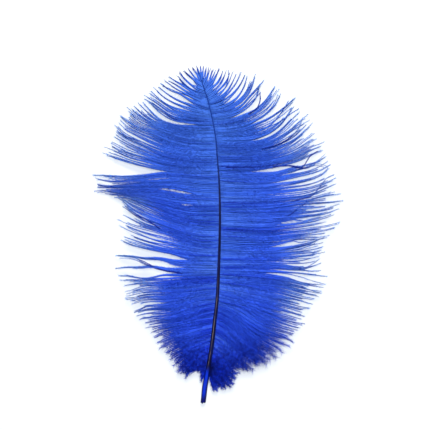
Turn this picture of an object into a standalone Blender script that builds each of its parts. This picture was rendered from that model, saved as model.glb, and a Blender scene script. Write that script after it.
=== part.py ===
"""A dyed ostrich feather, lying on a flat surface with the groove of its shaft upwards.

Metres, +Z up. The shaft runs along +Y, from the cut quill at -Y to the tip at +Y, and the surface is at z = 0.
The feather grew as one piece, so it is one solid: the shaft, with 39 locks of barbs down its left side and
41 down its right. The locks of a side are joined near the shaft and part into separate points further out.
"""

import math

import bpy
import numpy as np

MM = 0.001

# The feather's length and spread set its size. The places in the tables below are in millimetres at that size.
LENGTH = 180.6
SPREAD = 133.0
REACH_UP = LENGTH / 2
REACH_SIDE = SPREAD / 2

# The shaft's centre line, seen from above: (x, y) from the cut end of the quill to the tip.
SHAFT_LINE = [
    (-7.2, -REACH_UP), (-4.1, -69.0), (-1.0, -46.0), (0.8, -22.0), (1.6, 4.0),
    (1.4, 28.0), (-0.1, 50.0), (-3.6, 66.5), (-7.2, 79.0), (-10.8, REACH_UP),
]
# The shaft's radius and the height of its centre line at places along its length, each a (y, value) pair.
SHAFT_RADIUS = [
    (-90.3, 1.45), (-78.0, 1.5), (-68.0, 1.2), (-30.0, 0.9), (10.0, 0.65), (60.0, 0.42), (90.3, 0.2),
]
QUILL_FLAT_LENGTH = 11.0
QUILL_RISES_OVER = 12.0
SHAFT_HEIGHT = [
    (-90.3, 1.45), (-79.3, 1.45), (-60.0, 4.6), (-25.0, 7.6), (10.0, 8.6), (50.0, 6.8), (90.3, 2.4),
]
# The groove in the shaft's upper face runs between these places along Y. Its depth is a share of the radius.
GROOVE_START, GROOVE_END = -73.0, 30.0
GROOVE_DEPTH_SHARE = 0.4
GROOVE_DEEPENS_OVER, GROOVE_FADES_OVER = 6.0, 20.0
GROOVE_NARROWING = 0.3
QUILL_HOLLOW_SHARE = 0.62
QUILL_HOLLOW_DEPTH = 7.0
SHAFT_SIDES = 12
SHAFT_RINGS = 34

# The angle in degrees between the shaft's direction and a barb that leaves it, at places along Y.
LEAVING_ANGLE = [
    (-80, 150), (-70, 130), (-60, 112), (-45, 102), (-20, 93), (30, 90), (50, 84), (60, 72), (75, 48),
    (88, 28),
]

# The locks: (where it leaves the shaft along Y, (x, y) half way out, (x, y) of its point, where it parts from
# the next lock down as a share of its length). Each list runs from the tip of the feather to the quill.
JOINED = 0.75
LEFT_LOCKS = [
    (80.5, (-10.6, 84.6), (-14.3, REACH_UP - 0.5), JOINED),
    (77.5, (-13.0, 82.5), (-18.6, 87.5), 0.50),
    (74.5, (-14.2, 76.8), (-22.5, 84.8), JOINED),
    (69.5, (-17.0, 75.0), (-27.5, 82.0), JOINED),
    (65.0, (-18.0, 69.5), (-31.5, 78.3), JOINED),
    (62.0, (-20.5, 65.5), (-36.0, 75.8), JOINED),
    (60.0, (-22.0, 61.6), (-38.8, 73.0), 0.38),
    (57.0, (-21.5, 58.2), (-39.0, 70.0), JOINED),
    (52.8, (-24.5, 55.9), (-45.6, 68.4), JOINED),
    (47.7, (-27.0, 51.8), (-51.3, 63.5), JOINED),
    (41.4, (-29.0, 44.8), (-54.2, 58.5), JOINED),
    (36.6, (-30.0, 40.6), (-55.9, 51.2), JOINED),
    (34.4, (-30.5, 37.5), (-58.8, 47.6), JOINED),
    (32.8, (-31.0, 35.0), (-59.8, 43.0), 0.42),
    (31.0, (-32.0, 32.1), (-65.0, 31.5), JOINED),
    (27.0, (-33.0, 28.6), (-REACH_SIDE, 29.0), JOINED),
    (22.2, (-32.0, 24.8), (-66.0, 25.6), JOINED),
    (18.0, (-31.0, 21.0), (-65.6, 22.8), JOINED),
    (10.8, (-29.5, 15.2), (-60.0, 21.8), JOINED),
    (4.4, (-28.0, 10.0), (-53.4, 20.0), JOINED),
    (-2.2, (-26.5, 3.0), (-50.8, 12.6), JOINED),
    (-6.4, (-27.0, 0.0), (-52.8, 8.3), JOINED),
    (-8.4, (-27.0, -4.2), (-52.0, 4.6), JOINED),
    (-11.4, (-26.5, -8.6), (-51.3, -1.8), 0.36),
    (-15.4, (-26.0, -13.3), (-53.0, -11.2), 0.50),
    (-19.0, (-27.0, -17.8), (-54.3, -17.8), 0.42),
    (-21.2, (-26.0, -21.7), (-52.4, -22.2), 0.50),
    (-24.2, (-26.0, -25.2), (-51.2, -25.8), JOINED),
    (-27.0, (-25.5, -28.8), (-49.8, -31.0), JOINED),
    (-29.8, (-24.5, -32.8), (-48.5, -35.0), JOINED),
    (-32.4, (-23.5, -36.8), (-46.8, -39.4), JOINED),
    (-35.4, (-22.5, -40.2), (-44.6, -42.8), JOINED),
    (-38.8, (-21.0, -44.0), (-42.0, -46.8), JOINED),
    (-43.0, (-19.7, -47.4), (-38.0, -51.6), JOINED),
    (-48.0, (-17.5, -52.6), (-33.3, -56.6), JOINED),
    (-53.0, (-16.0, -57.6), (-29.4, -62.4), JOINED),
    (-57.6, (-13.5, -62.4), (-24.0, -69.0), JOINED),
    (-62.2, (-12.4, -67.8), (-19.2, -75.3), JOINED),
    (-69.0, (-7.4, -73.4), (-8.8, -80.0), JOINED),
]
RIGHT_LOCKS = [
    (78.5, (-6.2, 84.6), (-6.4, REACH_UP - 0.3), JOINED),
    (76.5, (-4.2, 82.6), (-2.4, 88.5), JOINED),
    (74.6, (-2.0, 80.6), (1.0, 89.0), JOINED),
    (72.8, (1.2, 78.4), (4.8, 87.0), JOINED),
    (70.5, (4.2, 77.0), (9.5, 85.8), JOINED),
    (68.5, (6.4, 74.0), (13.8, 84.8), JOINED),
    (65.8, (10.5, 70.6), (18.5, 83.2), JOINED),
    (62.8, (14.0, 67.6), (24.0, 80.8), 0.40),
    (59.0, (15.5, 62.3), (31.8, 77.4), JOINED),
    (55.6, (20.0, 57.8), (41.2, 71.6), JOINED),
    (51.0, (23.0, 52.6), (41.2, 67.8), 0.52),
    (48.0, (25.5, 49.8), (46.2, 64.6), JOINED),
    (45.6, (26.6, 47.2), (49.2, 60.0), JOINED),
    (42.0, (27.8, 43.8), (51.8, 55.2), JOINED),
    (38.6, (29.0, 40.0), (56.0, 49.0), JOINED),
    (35.4, (29.5, 36.6), (55.8, 44.6), 0.60),
    (31.4, (30.5, 31.6), (59.2, 39.4), 0.60),
    (27.2, (31.0, 27.4), (60.0, 34.6), JOINED),
    (22.2, (31.5, 22.4), (62.8, 29.0), JOINED),
    (18.0, (32.5, 18.4), (63.8, 24.2), JOINED),
    (14.4, (33.5, 15.0), (REACH_SIDE, 18.0), 0.60),
    (9.8, (33.0, 10.0), (65.0, 14.0), 0.60),
    (5.6, (31.0, 5.2), (62.2, 10.2), 0.50),
    (2.2, (33.0, 1.6), (65.0, 5.8), JOINED),
    (-1.4, (31.5, -1.6), (63.0, 1.6), 0.42),
    (-7.0, (28.8, -8.0), (56.8, -1.2), JOINED),
    (-9.8, (28.5, -10.2), (57.8, -8.0), JOINED),
    (-13.0, (28.5, -13.0), (56.4, -11.2), 0.38),
    (-16.0, (29.0, -16.0), (57.0, -15.0), JOINED),
    (-18.6, (29.5, -19.3), (58.5, -22.0), 0.42),
    (-21.4, (28.5, -23.6), (57.2, -28.4), JOINED),
    (-24.8, (27.5, -28.0), (54.8, -33.8), JOINED),
    (-27.8, (25.4, -32.8), (50.6, -38.8), JOINED),
    (-30.8, (24.6, -37.2), (49.8, -43.8), JOINED),
    (-33.8, (23.0, -41.6), (48.0, -48.4), JOINED),
    (-36.8, (21.0, -46.8), (42.6, -54.6), JOINED),
    (-40.4, (18.5, -52.2), (38.0, -61.0), JOINED),
    (-45.0, (15.5, -56.6), (31.5, -66.8), JOINED),
    (-51.4, (12.0, -61.4), (24.0, -71.0), 0.55),
    (-61.6, (4.0, -70.0), (11.0, -78.4), JOINED),
    (-69.4, (-0.8, -76.6), (3.8, -83.4), JOINED),
]

# A lock starts inside the shaft, just past its centre line, as thick as this share of the shaft's radius on
# each side. It is thickest a third of the way out, and its middle rises into a low ridge.
ROOT_THICKNESS_SHARE = 0.65
ROOT_PAST_CENTRE = 0.15
THICKEST, POINT_THICKNESS = 1.3, 0.7
THICKEST_AT = 0.33
RIDGE_HEIGHT, RIDGE_POWER = 0.45, 0.7
LOCK_ROWS = 9
# A free edge narrows to its point, and stays within this share of the way to the next lock's middle line.
POINT_HALF_WIDTH, EDGE_POWER = 0.3, 1.3
NEIGHBOUR_SHARE = 0.42
# The heights of the points above the surface, which the locks of a side take in turn, and what the lower half
# of the feather adds to them. Many of the upper half's points touch the surface.
POINT_HEIGHTS = (0.0, 1.1, 0.5, 0.0, 1.6, 0.3, 0.0, 0.8)
POINT_LIFT = [(-82.0, 0.3), (-62.0, 2.2), (-38.0, 3.0), (-12.0, 1.6), (12.0, 0.0)]
DROOP_POWER = 1.8


def along(table, y):
    """The value of a (y, value) table at y, between its points in straight steps."""
    places, values = zip(*table)
    return np.interp(y, places, values)


def smooth_line(points, steps):
    """A smooth curve through the points: Catmull-Rom with straight ends, and equal steps in each span."""
    p = np.array(points, float)
    p = np.vstack([2 * p[0] - p[1], p, 2 * p[-1] - p[-2]])
    t = np.linspace(0, 1, steps, endpoint=False)[:, None]
    spans = []
    for a, b, c, d in zip(p[:-3], p[1:-2], p[2:-1], p[3:]):
        square, cube = 2 * a - 5 * b + 4 * c - d, 3 * b - a - 3 * c + d
        spans.append(0.5 * (2 * b + (c - a) * t + square * t**2 + cube * t**3))
    return np.vstack([*spans, p[-2:-1]])


SHAFT_FINE = smooth_line(SHAFT_LINE, 24)


def shaft_x(y):
    """The shaft's x at y."""
    return np.interp(y, SHAFT_FINE[:, 1], SHAFT_FINE[:, 0])


def shaft_height(y):
    """The height of the shaft's centre line at y: level where the quill lies flat, then a low arch."""
    rounded = [along(SHAFT_HEIGHT, y + shift) for shift in (-6.0, -3.0, 0.0, 3.0, 6.0)]
    level_end = -REACH_UP + QUILL_FLAT_LENGTH
    blend = np.clip((np.asarray(y) - level_end) / QUILL_RISES_OVER, 0.0, 1.0)
    return (1 - blend) * along(SHAFT_RADIUS, y) + blend * np.mean(rounded, axis=0)


def mesh_object(name, points, faces, material=None):
    """A new object from points in millimetres and faces that point outwards."""
    mesh = bpy.data.meshes.new(name)
    mesh.from_pydata((np.asarray(points) * MM).tolist(), [], faces)
    mesh.validate()
    obj = bpy.data.objects.new(name, mesh)
    bpy.context.scene.collection.objects.link(obj)
    if material:
        mesh.materials.append(material)
    return obj


def closed_tube(rings):
    """The points and faces of a closed tube through rings of equally many points, with flat caps."""
    count, sides = len(rings), len(rings[0])
    faces = [list(range(sides))[::-1]]
    for i in range(count - 1):
        for j in range(sides):
            k = (j + 1) % sides
            faces.append([i * sides + j, i * sides + k, (i + 1) * sides + k, (i + 1) * sides + j])
    faces.append([(count - 1) * sides + j for j in range(sides)])
    return np.vstack(rings), faces


def shaft_ring(y, share=1.0):
    """One ring of the shaft at y: a polygon with a flat side down and a groove in its top."""
    radius = float(along(SHAFT_RADIUS, y)) * share
    inside = np.clip((y - GROOVE_START) / GROOVE_DEEPENS_OVER, 0, 1)
    inside = inside * np.clip((GROOVE_END - y) / GROOVE_FADES_OVER, 0, 1)
    step = math.pi / SHAFT_SIDES
    turns = np.array([-math.pi / 2 + step + 2 * step * i for i in range(SHAFT_SIDES)])
    flat = radius / math.cos(step)
    x, z = flat * np.cos(turns), flat * np.sin(turns)
    groove = GROOVE_DEPTH_SHARE * radius * inside * (share == 1.0)
    # The groove is between the two points nearest the top, each half a side away from it.
    top = np.abs(turns - math.pi / 2) < 1.5 * step
    z = np.where(top, z - groove, z)
    x = np.where(top, x * (1 - GROOVE_NARROWING * inside), x)
    centre = (float(shaft_x(y)), y, float(shaft_height(y)))
    return np.stack([centre[0] + x, np.full(SHAFT_SIDES, y), centre[2] + z], axis=1)


def make_shaft():
    """The shaft: a tapering tube with a cut, hollow quill end. Its rings lie in planes of equal y."""
    inner = [
        shaft_ring(-REACH_UP + QUILL_HOLLOW_DEPTH, QUILL_HOLLOW_SHARE),
        shaft_ring(-REACH_UP, QUILL_HOLLOW_SHARE),
    ]
    flat_end = -REACH_UP + QUILL_FLAT_LENGTH
    places = [-REACH_UP, flat_end, *np.linspace(flat_end, REACH_UP, SHAFT_RINGS)[1:]]
    points, faces = closed_tube([*inner, *[shaft_ring(float(y)) for y in places]])
    faces = [face[::-1] for face in faces]
    return mesh_object("feather", points, faces, dyed_barbs())


def lock_paths(locks, side):
    """The middle line of each lock, as an array of locks by rows by (x, y, z).

    z is the middle of the lock's thickness. Seen from above the line is the parabola through its root, its
    half-way point and its point, turned near the root so that it leaves the shaft at LEAVING_ANGLE. Its height
    falls from the shaft to the surface as 1 - v ** DROOP_POWER.
    """
    v = np.linspace(0.0, 1.0, LOCK_ROWS)[None, :, None]
    root_y = np.array([lock[0] for lock in locks])
    root_x = shaft_x(root_y) - side * ROOT_PAST_CENTRE * along(SHAFT_RADIUS, root_y)
    root = np.stack([root_x, root_y], axis=1)[:, None, :]
    middle = np.array([lock[1] for lock in locks])[:, None, :]
    point = np.array([lock[2] for lock in locks])[:, None, :]
    arc = root + (4 * middle - 3 * root - point) * v + (2 * root - 4 * middle + 2 * point) * v**2
    ahead = np.stack([shaft_x(root_y + 1) - shaft_x(root_y - 1), np.full(len(locks), 2.0)], axis=1)
    heading = np.arctan2(ahead[:, 1], ahead[:, 0]) - side * np.radians(along(LEAVING_ANGLE, root_y))
    leaving = np.stack([np.cos(heading), np.sin(heading)], axis=1)[:, None, :]
    chord = np.linalg.norm(point - root, axis=2, keepdims=True)
    turn = leaving * chord - (4 * middle - 3 * root - point)
    plan = arc + turn * v * (1 - v) ** 4
    heights = np.array([POINT_HEIGHTS[i % len(POINT_HEIGHTS)] for i in range(len(locks))])
    low = (heights + along(POINT_LIFT, root_y) + POINT_THICKNESS / 2)[:, None]
    high = shaft_height(root_y)[:, None]
    z = low + (high - low) * (1 - v[..., 0] ** DROOP_POWER)
    return np.concatenate([plan, z[..., None]], axis=2)


def make_vane(name, locks, side):
    """One side's locks as one closed sheet. side is -1 on the left and +1 on the right.

    Each lock has three lines of points, its two edges and its middle, on top and below. Neighbours share an edge
    up to the row where they part, and from there each has an edge of its own that narrows to its point.
    """
    paths = lock_paths(locks, side)
    count = len(locks)
    v = np.linspace(0.0, 1.0, LOCK_ROWS)
    root_half = ROOT_THICKNESS_SHARE * along(SHAFT_RADIUS, np.array([lock[0] for lock in locks]))
    half = np.array([
        np.interp(v, (0, THICKEST_AT, 1), (start, THICKEST / 2, POINT_THICKNESS / 2)) for start in root_half
    ])
    part_row = [min(LOCK_ROWS - 3, max(1, round(lock[3] * (LOCK_ROWS - 1)))) for lock in locks[:-1]]
    part_row = [0, *part_row, 0]
    tangent = np.gradient(paths[..., :2], axis=1)
    tangent /= np.linalg.norm(tangent, axis=2, keepdims=True)
    down = np.stack([tangent[..., 1], -tangent[..., 0]], axis=2) * side
    gap = np.linalg.norm(np.diff(paths[..., :2], axis=0), axis=2)
    gap = np.vstack([gap[:1], gap, gap[-1:]])

    points = []

    def add(point, thickness, lift):
        """Adds a point's top and bottom, and returns their numbers."""
        x, y, z = point
        points.append((x, y, z + thickness + lift))
        points.append((x, y, max(z - thickness, 0.0)))
        return len(points) - 2, len(points) - 1

    def edge(k, facing):
        """An edge of lock k as a list of (top, bottom) numbers. facing is -1 up the feather and +1 down it."""
        border = k if facing < 0 else k + 1
        found = []
        start = part_row[border]
        start_width = 0.5 * gap[border][start]
        for j in range(LOCK_ROWS):
            if 0 < border < count and j <= start:
                found.append(shared[border][j])
                continue
            fade = 1 - ((v[j] - v[start]) / (1 - v[start])) ** EDGE_POWER
            width = POINT_HALF_WIDTH + (start_width - POINT_HALF_WIDTH) * fade
            width = min(width, NEIGHBOUR_SHARE * gap[border][j])
            place = paths[k, j].copy()
            place[:2] += facing * width * down[k, j]
            found.append(add(place, half[k, j], 0.0))
        return found

    shared = {
        border: [
            add(paths[border - 1 : border + 1, j].mean(axis=0), half[border - 1 : border + 1, j].mean(), 0.0)
            for j in range(part_row[border] + 1)
        ]
        for border in range(1, count)
    }
    faces = []

    def strip(first, second):
        """Top and bottom faces between two lines of (top, bottom) numbers."""
        for j in range(LOCK_ROWS - 1):
            faces.append([first[j][0], first[j + 1][0], second[j + 1][0], second[j][0]])
            faces.append([first[j][1], second[j][1], second[j + 1][1], first[j + 1][1]])

    for k in range(count):
        upper, lower = edge(k, -1), edge(k, +1)
        lift = RIDGE_HEIGHT * np.sin(np.pi * v**RIDGE_POWER)
        ridge = [add(paths[k, j], half[k, j], lift[j]) for j in range(LOCK_ROWS)]
        strip(upper, ridge)
        strip(ridge, lower)
        for border, line, turn in ((k, upper, 1), (k + 1, lower, -1)):
            free_from = part_row[border] if 0 < border < count else 0
            for j in range(free_from, LOCK_ROWS - 1):
                wall = [line[j][0], line[j][1], line[j + 1][1], line[j + 1][0]]
                faces.append(wall[::turn])
        for row, turn in ((0, 1), (LOCK_ROWS - 1, -1)):
            for first, second in ((upper, ridge), (ridge, lower)):
                end = [first[row][0], second[row][0], second[row][1], first[row][1]]
                faces.append(end[::turn])
    if side > 0:
        faces = [face[::-1] for face in faces]
    vane = mesh_object(name, points, faces)
    vane.hide_render = True
    vane.display_type = "WIRE"
    return vane


def dyed_barbs():
    """The royal blue of the dyed barbs."""
    material = bpy.data.materials.new("dyed_barbs")
    material.use_nodes = True
    shader = material.node_tree.nodes["Principled BSDF"]
    shader.inputs["Base Color"].default_value = (0.022, 0.07, 0.62, 1.0)
    shader.inputs["Roughness"].default_value = 0.7
    shader.inputs["Metallic"].default_value = 0.0
    return material


def main():
    for old in list(bpy.data.objects):
        bpy.data.objects.remove(old)
    feather = make_shaft()
    for name, locks, side in (("left_vane", LEFT_LOCKS, -1), ("right_vane", RIGHT_LOCKS, 1)):
        join = feather.modifiers.new("join_" + name, "BOOLEAN")
        join.operation = "UNION"
        join.object = make_vane(name, locks, side)


main()
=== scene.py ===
"""A royal-blue dyed ostrich feather on a pale surface, seen from straight above in soft light.

Places are in millimetres until a mesh is made, which is in metres. The shaft runs up +Y from the cut
quill to the tip, its groove is upwards, and the surface is at z = 0.
"""

import math

import bpy
import numpy as np
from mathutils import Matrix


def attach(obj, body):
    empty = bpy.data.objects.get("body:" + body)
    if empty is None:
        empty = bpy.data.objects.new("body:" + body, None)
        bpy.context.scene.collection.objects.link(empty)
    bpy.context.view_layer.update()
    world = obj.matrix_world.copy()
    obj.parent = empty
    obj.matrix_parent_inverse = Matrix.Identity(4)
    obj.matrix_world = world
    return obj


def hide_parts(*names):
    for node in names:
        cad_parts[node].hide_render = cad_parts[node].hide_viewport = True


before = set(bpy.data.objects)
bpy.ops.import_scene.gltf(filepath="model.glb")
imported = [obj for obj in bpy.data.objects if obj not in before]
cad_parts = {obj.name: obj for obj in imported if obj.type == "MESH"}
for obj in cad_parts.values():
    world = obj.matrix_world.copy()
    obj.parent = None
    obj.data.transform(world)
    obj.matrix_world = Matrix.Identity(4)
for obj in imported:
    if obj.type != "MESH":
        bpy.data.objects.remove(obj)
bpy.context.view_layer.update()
MM = 0.001

# The feather's lines

# The shaft's centre line, (x, y) from the quill's cut end to the tip, its radius and its height at
# places along Y.
SHAFT_LINE = [
    (-7.2, -90.3), (-6.0, -80.0), (-4.1, -69.0), (-2.1, -56.0), (-1.0, -46.0), (0.3, -34.7),
    (1.1, -18.8), (1.65, -2.8), (1.8, 13.2), (1.4, 28.0), (0.5, 40.0), (-0.3, 50.0), (-1.9, 60.0),
    (-3.6, 67.5), (-5.5, 74.5), (-7.4, 80.0), (-8.9, 85.0), (-10.8, 90.3),
]
SHAFT_RADIUS = [
    (-90.3, 1.4), (-80, 1.52), (-72, 1.36), (-60, 1.2), (-35, 0.96), (-3, 0.68), (45, 0.4), (90.3, 0.12),
]
SHAFT_HEIGHT = [(-90.3, 1.45), (-79.3, 1.45), (-60, 4.6), (-25, 7.6), (10, 8.6), (50, 6.8), (90.3, 2.4)]
# The quill lies level below this place along Y.
QUILL_LEVEL_BELOW = -79.3

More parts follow.
